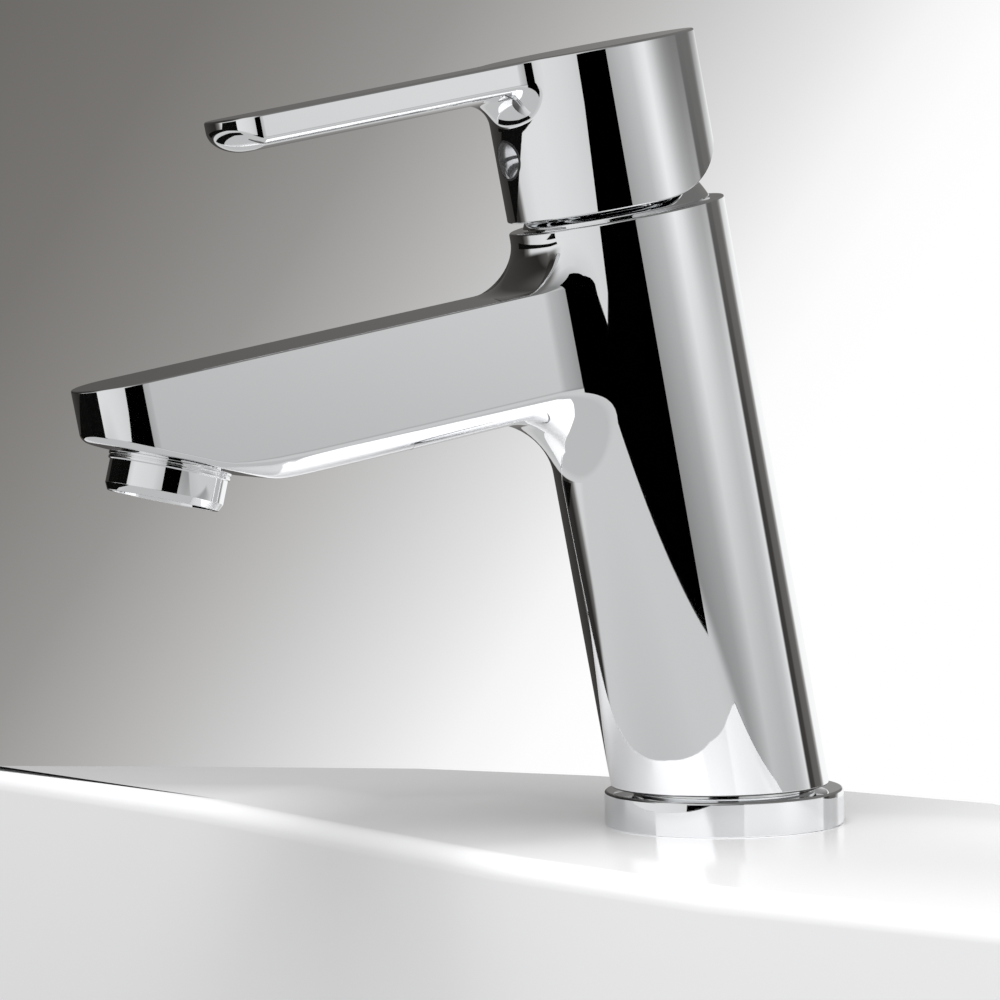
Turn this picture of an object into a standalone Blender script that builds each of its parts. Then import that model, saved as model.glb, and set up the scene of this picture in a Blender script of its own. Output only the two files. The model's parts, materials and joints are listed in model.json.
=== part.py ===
"""Single-lever basin mixer faucet, modelled at real size.

Frame: the origin is on the deck plane under the centre of the base ring, +Z is up
and the spout points to -Y. The faucet is symmetric about the plane X = 0.

The column leans towards the spout. Everything on its axis is modelled upright under
the empty "column_axis" and leans with it: there +Z runs up the column and -Y runs
along the spout. Everything at the outlet is modelled under the empty "outlet_axis".
"""
import math

import bmesh
import bpy
from mathutils import Matrix, Vector

MM = 0.001
GAP = 0.3                      # clearance between neighbouring pieces

# ---- overall layout (millimetres and degrees) ------------------------------
LEAN = 10.45                   # the column leans this far towards the spout
COLUMN_SHIFT = 0.6             # the column axis meets the deck this far behind centre
COLUMN_R = 23.0
COLUMN_FOOT_Z = 8.3            # height of the column's cut lower edge
RIM_U = 132.7                  # rim, measured along the column axis

RING_R = 25.6
RING_H = 7.4
SPIGOT_R = 19.5                # the body's foot inside the base ring

SPOUT_TIP = 124.8              # spout tip, measured forward from the column axis
SPOUT_TOP_U = 121.0
SPOUT_BELLY_U = 95.2
SPOUT_HALF_W = 13.0
SEAT_V = 108.3                 # centre of the outlet seat
SEAT_U = 103.4
SEAT_BEND_V = 90.0             # where the underside bends up to the seat
OUTLET_TILT = 13.5             # the water leaves this far off plumb, outward

CAP_R = 22.85
CAP_BOTTOM_U = 134.9
CAP_TOP_U = 168.1
CAP_REAR_ROUND = 25.3          # radius of the rounding under the back of the cap
LEVER_TIP = 86.0
LEVER_HALF_W = 12.0
LEVER_SIDE_U = 163.6           # lower edge of the lever's side faces
LEVER_BELLY_U = 160.8

PIVOT_U = 124.5                # cross pin that the spindle rocks on
DOME_R = 21.7                  # the collar is a sphere about the pivot
BORE_FLOOR_U = 108.8
BORE_R = 17.8
THREAD_U = 122.0
THREAD_R = 19.0

STUD_Y = -12.0
INLET_X = 8.5
INLET_Y = 6.0
DECK_T = 20.0                  # basin deck held between the ring and the clamp

BOSS_R = 8.5                   # boss inside the cap that holds the spindle
BOSS_U = 145.5                 # its lower face
CAP_BORE_R = 20.4              # inside of the cap
CAP_ROOF_U = 158.0             # inside roof of the cap
SCREW_U = 148.3                # grub screw and the button over it
BUTTON_HALF_W = 5.0
BUTTON_HALF_H = 4.0
DOME_OPENING_R = 12.6          # clears the boss with the lever fully raised
DOME_WALL = 1.3
COLLAR_R = 12.5                # aerator collar
SHELL_R = 12.05                # aerator shell
SHELL_H = 8.2                  # its height in view
CELL_R = 1.25                  # cells of the aerator insert
DISC_R = 15.0                  # fixed ceramic disc and the cartridge base
DISC_H = 2.2                   # both ceramic discs
PORT_R = 2.4                   # waterways of the cartridge
BASE_U = 109.1                 # cartridge base
FIXED_DISC_U = 111.4
MOVING_DISC_U = 113.9
CARRIER_U = 116.4
STUD_R = 3.9
STUD_BOTTOM = -62.0
SMOOTH = 48                    # steps round a large turned piece in view
HIDDEN = 32                    # steps round a large piece inside
FINE = 20                      # steps round a small one


# ---- scene ------------------------------------------------------------------
for old in list(bpy.data.objects):
    bpy.data.objects.remove(old, do_unlink=True)

PARTS = bpy.data.collections.new("basin_mixer_faucet")
CUTTERS = bpy.data.collections.new("cutters")
bpy.context.scene.collection.children.link(PARTS)
bpy.context.scene.collection.children.link(CUTTERS)


def material(name, colour, roughness, metallic):
    mat = bpy.data.materials.new(name)
    mat.use_nodes = True
    bsdf = mat.node_tree.nodes["Principled BSDF"]
    bsdf.inputs["Base Color"].default_value = (*colour, 1.0)
    bsdf.inputs["Roughness"].default_value = roughness
    bsdf.inputs["Metallic"].default_value = metallic
    mat.diffuse_color = (*colour, 1.0)
    return mat


CHROME = material("chrome", (0.88, 0.89, 0.90), 0.04, 1.0)
BRASS = material("brass", (0.78, 0.60, 0.30), 0.30, 1.0)
STEEL = material("steel", (0.62, 0.62, 0.63), 0.35, 1.0)
CERAMIC = material("alumina_ceramic", (0.93, 0.92, 0.88), 0.30, 0.0)
RUBBER = material("rubber", (0.03, 0.03, 0.03), 0.80, 0.0)
WHITE_PLASTIC = material("white_plastic", (0.86, 0.86, 0.84), 0.45, 0.0)
GREY_PLASTIC = material("grey_plastic", (0.35, 0.36, 0.37), 0.50, 0.0)
CLEAR_PLASTIC = material("clear_plastic", (0.80, 0.82, 0.84), 0.08, 0.0)


def empty(name, location, rotation=(0.0, 0.0, 0.0), parent=None):
    obj = bpy.data.objects.new(name, None)
    obj.location = Vector(location) * MM
    obj.rotation_euler = rotation
    obj.parent = parent
    PARTS.objects.link(obj)
    return obj


COLUMN = empty("column_axis", (0, COLUMN_SHIFT, 0), (math.radians(LEAN), 0, 0))
TURN = empty("handle_turn_axis", (0, 0, PIVOT_U), parent=COLUMN)
LIFT = empty("handle_lift_axis", (0, 0, 0), parent=TURN)
SLIDE = empty("disc_slide_axis", (0, 0, 0), parent=TURN)

LEAN_SIN = math.sin(math.radians(LEAN))
LEAN_COS = math.cos(math.radians(LEAN))


def column_to_world(x, v, u):
    """World position of a point x across, v forward and u up the column."""
    return (x, COLUMN_SHIFT - u * LEAN_SIN - v * LEAN_COS, u * LEAN_COS - v * LEAN_SIN)


OUTLET = empty(
    "outlet_axis", column_to_world(0, SEAT_V, SEAT_U), (math.radians(-OUTLET_TILT), 0, 0)
)


# ---- building blocks --------------------------------------------------------
def place(obj, parent=None, origin=(0, 0, 0), mat=None, cutter=False):
    """Link an object whose mesh is in its parent's space; origin moves its pivot."""
    (CUTTERS if cutter else PARTS).objects.link(obj)
    obj.parent = parent
    if any(origin):
        shift = Vector(origin) * MM
        obj.data.transform(Matrix.Translation(-shift))
        obj.location = obj.location + shift
    if mat:
        obj.data.materials.append(mat)
    if cutter:
        obj.hide_render = True
        obj.display_type = "WIRE"
    return obj


def in_frame(obj, frame_u):
    """Lower a piece modelled from the deck into a frame that sits frame_u up."""
    obj.data.transform(Matrix.Translation((0, 0, -frame_u * MM)))
    return obj


def turned(name, profile, steps=SMOOTH, closed=True):
    """A profile of (radius, height) points spun about Z, top to bottom outside."""
    mesh = bpy.data.meshes.new(name)
    points = [(r * MM, 0.0, z * MM) for r, z in profile]
    count = len(points)
    edges = [(i, i + 1) for i in range(count - 1)]
    if closed:
        edges.append((count - 1, 0))
    mesh.from_pydata(points, edges, [])
    obj = bpy.data.objects.new(name, mesh)
    screw = obj.modifiers.new("turn", "SCREW")
    screw.axis = "Z"
    screw.steps = steps
    screw.render_steps = steps
    screw.use_merge_vertices = True
    screw.merge_threshold = 0.00001
    screw.use_smooth_shade = True
    return obj


def disc(name, radius, low, high, steps=FINE):
    """A plain solid cylinder about Z, as a turned profile."""
    return turned(name, [(0, high), (radius, high), (radius, low), (0, low)], steps, False)


def ring(name, outer, inner, low, high, steps=SMOOTH):
    """A plain ring of rectangular section about Z."""
    return turned(name, [(inner, high), (outer, high), (outer, low), (inner, low)], steps)


def rod(name, radius, start, end, steps=FINE):
    """A cylinder between two points of its parent's space."""
    a, b = Vector(start) * MM, Vector(end) * MM
    mesh = bpy.data.meshes.new(name)
    bm = bmesh.new()
    turn = (b - a).to_track_quat("Z", "Y").to_matrix().to_4x4()
    bmesh.ops.create_cone(
        bm, cap_ends=True, segments=steps, radius1=radius * MM, radius2=radius * MM,
        depth=(b - a).length, matrix=Matrix.Translation((a + b) / 2) @ turn,
    )
    bm.to_mesh(mesh)
    bm.free()
    return bpy.data.objects.new(name, mesh)


def block(name, low, high):
    """A box between two corners of its parent's space."""
    lo, hi = Vector(low) * MM, Vector(high) * MM
    mesh = bpy.data.meshes.new(name)
    bm = bmesh.new()
    size = Matrix.Diagonal((*(hi - lo), 1.0))
    bmesh.ops.create_cube(bm, size=1.0, matrix=Matrix.Translation((lo + hi) / 2) @ size)
    bm.to_mesh(mesh)
    bm.free()
    return bpy.data.objects.new(name, mesh)


def plate(name, outlines, half_thickness, matrix):
    """A flat outline (with any holes) thickened both ways, made a welded mesh."""
    curve = bpy.data.curves.new(name + "_outline", "CURVE")
    curve.dimensions = "2D"
    curve.fill_mode = "BOTH"
    curve.extrude = half_thickness * MM
    for outline in outlines:
        spline = curve.splines.new("POLY")
        spline.points.add(len(outline) - 1)
        for point, (x, y) in zip(spline.points, outline):
            point.co = (x * MM, y * MM, 0.0, 1.0)
        spline.use_cyclic_u = True
    guide = bpy.data.objects.new(name + "_outline", curve)
    CUTTERS.objects.link(guide)
    bpy.context.view_layer.update()
    shape = guide.evaluated_get(bpy.context.evaluated_depsgraph_get())
    mesh = bpy.data.meshes.new_from_object(shape)
    bpy.data.objects.remove(guide, do_unlink=True)
    bm = bmesh.new()
    bm.from_mesh(mesh)
    bmesh.ops.remove_doubles(bm, verts=bm.verts, dist=0.00001)
    bmesh.ops.transform(bm, matrix=matrix, verts=bm.verts)
    bmesh.ops.recalc_face_normals(bm, faces=bm.faces)
    bm.to_mesh(mesh)
    bm.free()
    mesh.name = name
    return bpy.data.objects.new(name, mesh)


def loft(name, sections):
    """A closed skin over sections, each a loop of the same number of points."""
    mesh = bpy.data.meshes.new(name)
    bm = bmesh.new()
    loops = [[bm.verts.new(Vector(p) * MM) for p in loop] for loop in sections]
    for near, far in zip(loops, loops[1:]):
        for i in range(len(near)):
            j = (i + 1) % len(near)
            bm.faces.new((near[i], near[j], far[j], far[i]))
    bm.faces.new(loops[0])
    bm.faces.new(loops[-1])
    bmesh.ops.recalc_face_normals(bm, faces=bm.faces)
    bm.to_mesh(mesh)
    bm.free()
    return bpy.data.objects.new(name, mesh)


def cut(obj, tool):
    modifier = obj.modifiers.new(tool.name, "BOOLEAN")
    modifier.operation = "DIFFERENCE"
    modifier.solver = "EXACT"
    modifier.object = tool


def join(obj, tool):
    modifier = obj.modifiers.new(tool.name, "BOOLEAN")
    modifier.operation = "UNION"
    modifier.solver = "EXACT"
    modifier.object = tool


def arc(centre, radius, start, end, steps):
    """Points on a circle from one angle to another, in degrees."""
    points = []
    for i in range(steps + 1):
        angle = math.radians(start + (end - start) * i / steps)
        points.append((centre[0] + radius * math.cos(angle), centre[1] + radius * math.sin(angle)))
    return points


# ---- spout and lever outlines ----------------------------------------------
def flare(v, start, reach, rise):
    """How far a fillet has risen at v: 0 from start outward, rise at start - reach."""
    t = min(1.0, max(0.0, (start - v) / reach))
    return rise * (1.0 - math.sqrt(max(0.0, 1.0 - t * t)))


def tip_width(v, tip, depth, half_width):
    """Half width of a bar whose end is half of an ellipse in plan."""
    t = min(1.0, max(0.0, (v - (tip - depth)) / depth))
    return half_width * math.sqrt(max(0.0, 1.0 - t * t))


def rounded_section(v, half_w, top, bottom, top_r, bottom_r, steps=4):
    """A loop across the spout: small round top corners, large round lower ones."""
    right = arc((half_w - top_r, top - top_r), top_r, 90, 0, 1)
    right += arc((half_w - bottom_r, bottom + bottom_r), bottom_r, 0, -90, steps)
    left = [(-x, u) for x, u in reversed(right)]
    return [(x, -v, u) for x, u in right + left]


SEAT_SLOPE = math.tan(math.radians(OUTLET_TILT + LEAN))


def spout_sections():
    stations = [15.0, 18.0, 20.0, 21.7, 23.5, 25.2, 27.5, 30.5, 34.0, 39.0, 60.0, 84.0]
    stations += [SEAT_BEND_V + d for d in (-3.0, 0.0, 3.0, 8.0, 14.0, 20.0, 25.0)]
    depth = 8.6
    stations += [SPOUT_TIP - depth * (1 - math.sin(math.radians(a))) for a in (5, 30, 50, 65, 78)]
    sections = []
    for v in sorted(stations) + [SPOUT_TIP]:
        w = SPOUT_HALF_W + flare(v, 28.0, 12.0, 4.0)
        w = max(2.6, min(w, tip_width(v, SPOUT_TIP + 0.02, depth, SPOUT_HALF_W)))
        top = SPOUT_TOP_U + flare(v, 31.5, 11.0, 10.5)
        seat = SEAT_U + (v - SEAT_V) * SEAT_SLOPE
        bottom = max(SPOUT_BELLY_U, seat) - flare(v, 38.0, 17.0, 16.0)
        bend = abs(v - SEAT_BEND_V)
        if bend < 4.0:
            bottom += 0.25 * (1.0 - bend / 4.0)
        bottom_r = 5.2 - 3.6 * min(1.0, max(0.0, (v - SEAT_BEND_V) / 22.0))
        bottom_r = min(bottom_r, w - 0.8)
        sections.append(rounded_section(v, w, top, bottom, 0.7, bottom_r))
    return sections


def lever_section(v, half_w, top, side, belly):
    edge = min(0.5, half_w * 0.2)
    right = [(half_w - edge, top), (half_w, top - edge), (half_w, side)]
    right += [(half_w * 0.90, side - (side - belly) * 0.42)]
    right += [(half_w * 0.60, side - (side - belly) * 0.80), (half_w * 0.25, belly)]
    left = [(-x, u) for x, u in reversed(right)]
    return [(x, -v, u) for x, u in right + left]


def lever_sections():
    stations = [14.0, 17.0, 19.0, 21.2, 23.4, 25.2, 27.5, 31.0, 50.0, 70.0]
    depth = 6.5
    stations += [LEVER_TIP - depth * (1 - math.sin(math.radians(a))) for a in (0, 30, 52, 68, 80)]
    sections = []
    for v in stations + [LEVER_TIP]:
        w = LEVER_HALF_W + flare(v, 24.0, 9.0, 4.0)
        w = max(2.4, min(w, tip_width(v, LEVER_TIP + 0.02, depth, LEVER_HALF_W)))
        drop = flare(v, 30.5, 9.0, 8.0)
        lift = flare(-v, 10.0 - LEVER_TIP, 10.0, 3.2)
        belly = LEVER_BELLY_U - drop + lift
        side = max(LEVER_SIDE_U - drop * 0.8, belly + 1.2)
        sections.append(lever_section(v, w, CAP_TOP_U, side, belly))
    return sections


# ---- faucet body: column, spout, cartridge bore, waterways -------------------
body = turned("faucet_body", [
    (0, RIM_U), (COLUMN_R - 0.4, RIM_U), (COLUMN_R, RIM_U - 0.4), (COLUMN_R, -6), (0, -6),
], SMOOTH, False)
place(body, COLUMN, mat=CHROME)

foot_cut = place(block("foot_cut", (-40, -40, -30), (40, 40, COLUMN_FOOT_Z)), cutter=True)
cut(body, foot_cut)
spigot = place(disc("spigot", SPIGOT_R, 0.6, 14.0, SMOOTH), cutter=True)
join(body, spigot)
spout = place(loft("spout", spout_sections()), COLUMN, cutter=True)
join(body, spout)

bore = place(turned("cartridge_bore", [
    (0, RIM_U + 3), (THREAD_R, RIM_U + 3), (THREAD_R, THREAD_U), (BORE_R, THREAD_U),
    (BORE_R, BORE_FLOOR_U), (0, BORE_FLOOR_U),
], SMOOTH, False), COLUMN, cutter=True)
cut(body, bore)

WATER_START = (0, 8.0, 101.6)
WATER_END = (0, -101.0, 108.6)
cut(body, place(rod("spout_waterway", 4.0, WATER_START, WATER_END), COLUMN, cutter=True))
cut(body, place(rod("outlet_port", 2.7, (0, 5.5, 101.0), (0, 5.5, 112.0)), COLUMN, cutter=True))
cut(body, place(disc("aerator_bore", 10.5, -4.0, 8.5, 32), OUTLET, cutter=True))

for side, label in ((-1, "hot"), (1, "cold")):
    base = Vector((side * INLET_X, INLET_Y, 12.0))
    socket = rod(label + "_socket", 5.1, (base.x, base.y, -2.0), (base.x, base.y, 13.0))
    cut(body, place(socket, cutter=True))
    top = column_to_world(side * INLET_X, 4.5, BORE_FLOOR_U + 2.0)
    cut(body, place(rod(label + "_passage", 2.4, base, top, 16), cutter=True))
cut(body, place(rod("stud_hole", 4.2, (0, STUD_Y, -2), (0, STUD_Y, 14.0)), cutter=True))


# ---- base ring and its gasket ------------------------------------------------
base_ring = turned("base_ring", [
    (SPIGOT_R + GAP, RING_H), (RING_R - 0.6, RING_H), (RING_R, RING_H - 0.6), (RING_R, 0.3),
    (RING_R - 0.3, 0), (24.0, 0), (24.0, 1.6), (21.5, 1.6), (21.5, 0), (SPIGOT_R + GAP, 0),
])
place(base_ring, mat=CHROME)
place(ring("base_gasket", 23.7, 21.8, 0, 1.3, HIDDEN), mat=RUBBER)


# ---- fixing set under the deck -------------------------------------------------
stud = turned("fixing_stud", [
    (0, 13.5), (STUD_R - 0.6, 13.5), (STUD_R, 12.9), (STUD_R, STUD_BOTTOM + 0.6),
    (STUD_R - 0.6, STUD_BOTTOM), (0, STUD_BOTTOM),
], FINE, False)
stud.location = (0, STUD_Y * MM, 0)
place(stud, mat=STEEL)


def horseshoe(radius):
    """A round plate with a slot open to the back for the two supply hoses."""
    slot_r, slot_y = 14.0, 8.0
    edge = math.degrees(math.asin(slot_r / radius))
    outline = arc((0, 0), radius, 90 - edge, -270 + edge, 28)
    return outline + arc((0, slot_y), slot_r, 180, 360, 10)


def clamp_plate(name, radius, low, high, mat):
    hole = arc((0, STUD_Y), 4.3, 0, 340, 17)
    lift = Matrix.Translation((0, 0, (low + high) / 2 * MM))
    obj = plate(name, [horseshoe(radius), hole], (high - low) / 2, lift)
    return place(obj, mat=mat)


rubber_low = -DECK_T - 3.0
clamp_plate("rubber_clamp_washer", 24.5, rubber_low, -DECK_T, RUBBER)
clamp_plate("steel_clamp_plate", 24.0, rubber_low - GAP - 2.0, rubber_low - GAP, STEEL)
nut_high = rubber_low - 2 * GAP - 2.0
nut = disc("fixing_nut", 7.5, nut_high - 6.5, nut_high, 6)
nut.location = (0, STUD_Y * MM, 0)
place(nut, mat=BRASS)
cut(nut, place(rod("nut_thread", 4.3, (0, STUD_Y, -50), (0, STUD_Y, 0)), cutter=True))


# ---- ceramic cartridge ----------------------------------------------------------
housing = turned("cartridge_housing", [
    (10.7, 128.9), (12.7, 128.9), (12.7, 122.0), (17.5, 122.0), (17.5, 109.1),
    (15.3, 109.1), (15.3, 121.0), (10.7, 121.0),
], HIDDEN)
place(housing, COLUMN, mat=WHITE_PLASTIC)

PORTS = (("hot", -INLET_X, -4.5), ("cold", INLET_X, -4.5), ("mixed", 0.0, 5.5))


def port_tools(label, low, high, radius):
    return [
        place(rod(label + "_" + name, radius, (x, y, low), (x, y, high), 16), COLUMN, cutter=True)
        for name, x, y in PORTS
    ]


cartridge_base = disc("cartridge_base", DISC_R, BASE_U, BASE_U + 2.0, HIDDEN)
place(cartridge_base, COLUMN, mat=GREY_PLASTIC)
for tool in port_tools("base_port", 108.0, 112.0, PORT_R):
    cut(cartridge_base, tool)
for tool in port_tools("seal_seat", 108.0, 110.0, 3.9):
    cut(cartridge_base, tool)
for label, x, y in PORTS:
    seal = ring(label + "_port_seal", 3.6, 2.7, BASE_U, BASE_U + 0.6, 20)
    seal.location = (x * MM, y * MM, 0)
    place(seal, COLUMN, mat=RUBBER)

fixed_disc = disc("fixed_ceramic_disc", DISC_R, FIXED_DISC_U, FIXED_DISC_U + DISC_H, HIDDEN)
place(fixed_disc, COLUMN, mat=CERAMIC)
for tool in port_tools("fixed_port", 110.0, 115.0, PORT_R):
    cut(fixed_disc, tool)

moving_disc = disc(
    "moving_ceramic_disc", 12.6, MOVING_DISC_U, MOVING_DISC_U + DISC_H, HIDDEN
)
in_frame(moving_disc, PIVOT_U)
place(moving_disc, SLIDE, mat=CERAMIC)
recess = block("mixing_recess", (-9.6, -1.9, 112.5 - PIVOT_U), (9.6, 7.6, 115.2 - PIVOT_U))
cut(moving_disc, place(recess, SLIDE, cutter=True))

carrier = in_frame(disc("disc_carrier", 9.6, CARRIER_U, CARRIER_U + 2.9, HIDDEN), PIVOT_U)
place(carrier, SLIDE, mat=GREY_PLASTIC)
foot_socket = disc("foot_socket", 2.3, 116.9 - PIVOT_U, 121.0 - PIVOT_U, 20)
cut(carrier, place(foot_socket, SLIDE, cutter=True))

guide = in_frame(turned("spindle_guide", [
    (0, 128.6), (10.4, 128.6), (10.4, 120.7), (13.0, 120.7), (13.0, 119.6), (0, 119.6),
], HIDDEN, False), PIVOT_U)
place(guide, TURN, mat=WHITE_PLASTIC)
cut(guide, place(block("guide_slot", (-3.8, -5.4, -8), (3.8, 5.4, 8)), TURN, cutter=True))
cut(guide, place(rod("guide_pin_hole", 1.55, (-15, 0, 0), (15, 0, 0), 16), TURN, cutter=True))
place(rod("pivot_pin", 1.25, (-9.9, 0, 0), (9.9, 0, 0), 16), TURN, mat=STEEL)

spindle = place(block("lever_spindle", (-3.5, -3.5, -3.6), (3.5, 3.5, 31.5)), LIFT, mat=BRASS)
spindle_foot = turned("spindle_foot", [
    (0, 2.0), (1.7, 2.0), (1.7, -6.6), (1.1, -7.2), (0, -7.2),
], 16, False)
join(spindle, place(spindle_foot, LIFT, cutter=True))
cut(spindle, place(rod("spindle_pin_hole", 1.55, (-6, 0, 0), (6, 0, 0), 16), LIFT, cutter=True))

nut_ring = turned("retaining_nut", [
    (13.0, 128.3), (18.2, 128.3), (18.7, 127.8), (18.7, 122.3), (13.0, 122.3),
], HIDDEN)
place(nut_ring, COLUMN, mat=BRASS)
for i in range(4):
    angle = math.radians(45 + 90 * i)
    x, y = 16.0 * math.cos(angle), 16.0 * math.sin(angle)
    tool = rod("nut_key_slot_%d" % i, 1.6, (x, y, 126.0), (x, y, 130.0), 12)
    cut(nut_ring, place(tool, COLUMN, cutter=True))


def dome_profile():
    """Outer sphere, flange on the rim, skirt in the bore, then the inner sphere."""
    inner = DOME_R - DOME_WALL
    top = math.degrees(math.acos(DOME_OPENING_R / DOME_R))
    base = math.degrees(math.asin((RIM_U + GAP - PIVOT_U) / DOME_R))
    profile = arc((0, PIVOT_U), DOME_R, top, base, 6)
    profile += [(18.7, RIM_U + GAP), (18.7, 128.6), (17.4, 128.6)]
    low = math.degrees(math.acos(17.4 / inner))
    high = math.degrees(math.acos(DOME_OPENING_R / inner))
    return profile + arc((0, PIVOT_U), inner, low, high, 4)


place(turned("dome_collar", dome_profile()), COLUMN, mat=CHROME)


# ---- handle: cap and lever ---------------------------------------------------------
handle = in_frame(turned("handle", [
    (0, CAP_TOP_U), (CAP_R - 0.5, CAP_TOP_U), (CAP_R, CAP_TOP_U - 0.5),
    (CAP_R, CAP_BOTTOM_U), (0, CAP_BOTTOM_U),
], SMOOTH, False), PIVOT_U)
place(handle, LIFT, mat=CHROME)
lever = in_frame(loft("lever", lever_sections()), PIVOT_U)
join(handle, place(lever, LIFT, cutter=True))

hollow = in_frame(turned("cap_hollow", [
    (0, BOSS_U), (BOSS_R, BOSS_U), (BOSS_R, CAP_ROOF_U), (CAP_BORE_R, CAP_ROOF_U),
    (CAP_BORE_R, 136.6), (22.0, CAP_BOTTOM_U), (22.0, 130.0), (0, 130.0),
], SMOOTH, False), PIVOT_U)
cut(handle, place(hollow, LIFT, cutter=True))

centre_u = CAP_BOTTOM_U + CAP_REAR_ROUND
rear = [(0.0, CAP_BOTTOM_U - 12.0), (0.0, CAP_BOTTOM_U)]
rear += arc((0.0, centre_u), CAP_REAR_ROUND, -90, -156, 14)[1:]
rear += [(-40.0, rear[-1][1] + 4.0), (-40.0, CAP_BOTTOM_U - 12.0)]
across = Matrix(((0, 0, -1, 0), (-1, 0, 0, 0), (0, 1, 0, 0), (0, 0, 0, 1)))
rear_cut = in_frame(plate("cap_rear_rounding", [rear], 30.0, across), PIVOT_U)
cut(handle, place(rear_cut, LIFT, cutter=True))

socket_top = 156.4 - PIVOT_U
socket = block("spindle_socket", (-3.8, -3.8, 12.0), (3.8, 3.8, socket_top))
cut(handle, place(socket, LIFT, cutter=True))

SCREW_H = SCREW_U - PIVOT_U
screw_hole = rod("screw_hole", 2.5, (0, -2.0, SCREW_H), (0, -12.0, SCREW_H), 20)
cut(handle, place(screw_hole, LIFT, cutter=True))
screw = rod("handle_screw", 2.2, (0, -3.8, SCREW_H), (0, -8.4, SCREW_H), 20)
place(screw, LIFT, mat=STEEL)
hex_key = rod("screw_hex", 1.3, (0, -6.4, SCREW_H), (0, -10.0, SCREW_H), 6)
cut(screw, place(hex_key, LIFT, cutter=True))


def oval(half_w, half_h, steps=28):
    return [
        (half_w * math.cos(2 * math.pi * i / steps), half_h * math.sin(2 * math.pi * i / steps))
        for i in range(steps)
    ]


facing = Matrix(((1, 0, 0, 0), (0, 0, -1, -21.7 * MM), (0, 1, 0, SCREW_H * MM), (0, 0, 0, 1)))
button_hole = plate("button_hole", [oval(BUTTON_HALF_W + 0.3, BUTTON_HALF_H + 0.3)], 3.4, facing)
cut(handle, place(button_hole, LIFT, cutter=True))
button = plate("indicator_button", [oval(BUTTON_HALF_W, BUTTON_HALF_H)], 3.2, facing)
place(button, LIFT, mat=CLEAR_PLASTIC)
face = in_frame(ring("button_face", 40.0, CAP_R - 0.1, 140.0, 156.0), PIVOT_U)
cut(button, place(face, LIFT, cutter=True))
back = in_frame(disc("button_back", 20.7, 140.0, 156.0, SMOOTH), PIVOT_U)
cut(button, place(back, LIFT, cutter=True))


# ---- aerator -----------------------------------------------------------------------
aerator = turned("aerator_housing", [
    (8.9, 5.4), (10.2, 5.4), (10.2, -GAP), (COLLAR_R, -GAP), (COLLAR_R, -1.4), (SHELL_R, -1.7),
    (SHELL_R, 0.5 - SHELL_H), (11.5, -SHELL_H), (10.6, -SHELL_H), (10.3, -7.7),
    (9.6, -7.7), (9.6, 4.6), (8.9, 4.6),
], HIDDEN)
place(aerator, OUTLET, mat=CHROME)
for i, turn in enumerate((10.0, 100.0)):
    angle = math.radians(90.0 + turn)
    x, y = 13.2 * math.cos(angle), 13.2 * math.sin(angle)
    notch = rod("aerator_notch_%d" % i, 2.5, (x, y, -9.0), (x, y, -4.6), 20)
    cut(aerator, place(notch, OUTLET, cutter=True))

insert = disc("aerator_insert", 9.3, -6.8, 1.5, 44)
place(insert, OUTLET, mat=WHITE_PLASTIC)
for ring_index, (count, radius) in enumerate(((1, 0.0), (6, 3.3), (12, 6.6))):
    for i in range(count):
        angle = 2 * math.pi * i / count
        x, y = radius * math.cos(angle), radius * math.sin(angle)
        tool = rod("cell_%d_%d" % (ring_index, i), CELL_R, (x, y, -8), (x, y, 3), 6)
        cut(insert, place(tool, OUTLET, cutter=True))

screen = ring("aerator_screen", 9.3, 1.6, 1.8, 3.6, HIDDEN)
place(screen, OUTLET, mat=STEEL)
place(ring("aerator_washer", 10.1, 6.5, 5.7, 7.7, HIDDEN), OUTLET, mat=RUBBER)

# ---- shading --------------------------------------------------------------------
for obj in PARTS.objects:
    if obj.type == "MESH" and len(obj.data.polygons):
        obj.data.shade_smooth()
        obj.data.set_sharp_from_angle(angle=math.radians(30))
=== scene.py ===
"""Single-lever basin mixer: the finished surfaces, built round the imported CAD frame.

Each sub-assembly is a class that keeps its sizes in millimetres and builds its own pieces.
A piece is modelled in the coordinates of the axis that it stands on, which are x across the
faucet, v forward from the axis and u up it, and is then set in the frame in metres.
"""
import json
import logging
import math
from dataclasses import dataclass, field
from enum import Enum
from typing import Callable, Sequence

import bmesh
import bpy
import numpy as np
from mathutils import Matrix, Vector

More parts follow.
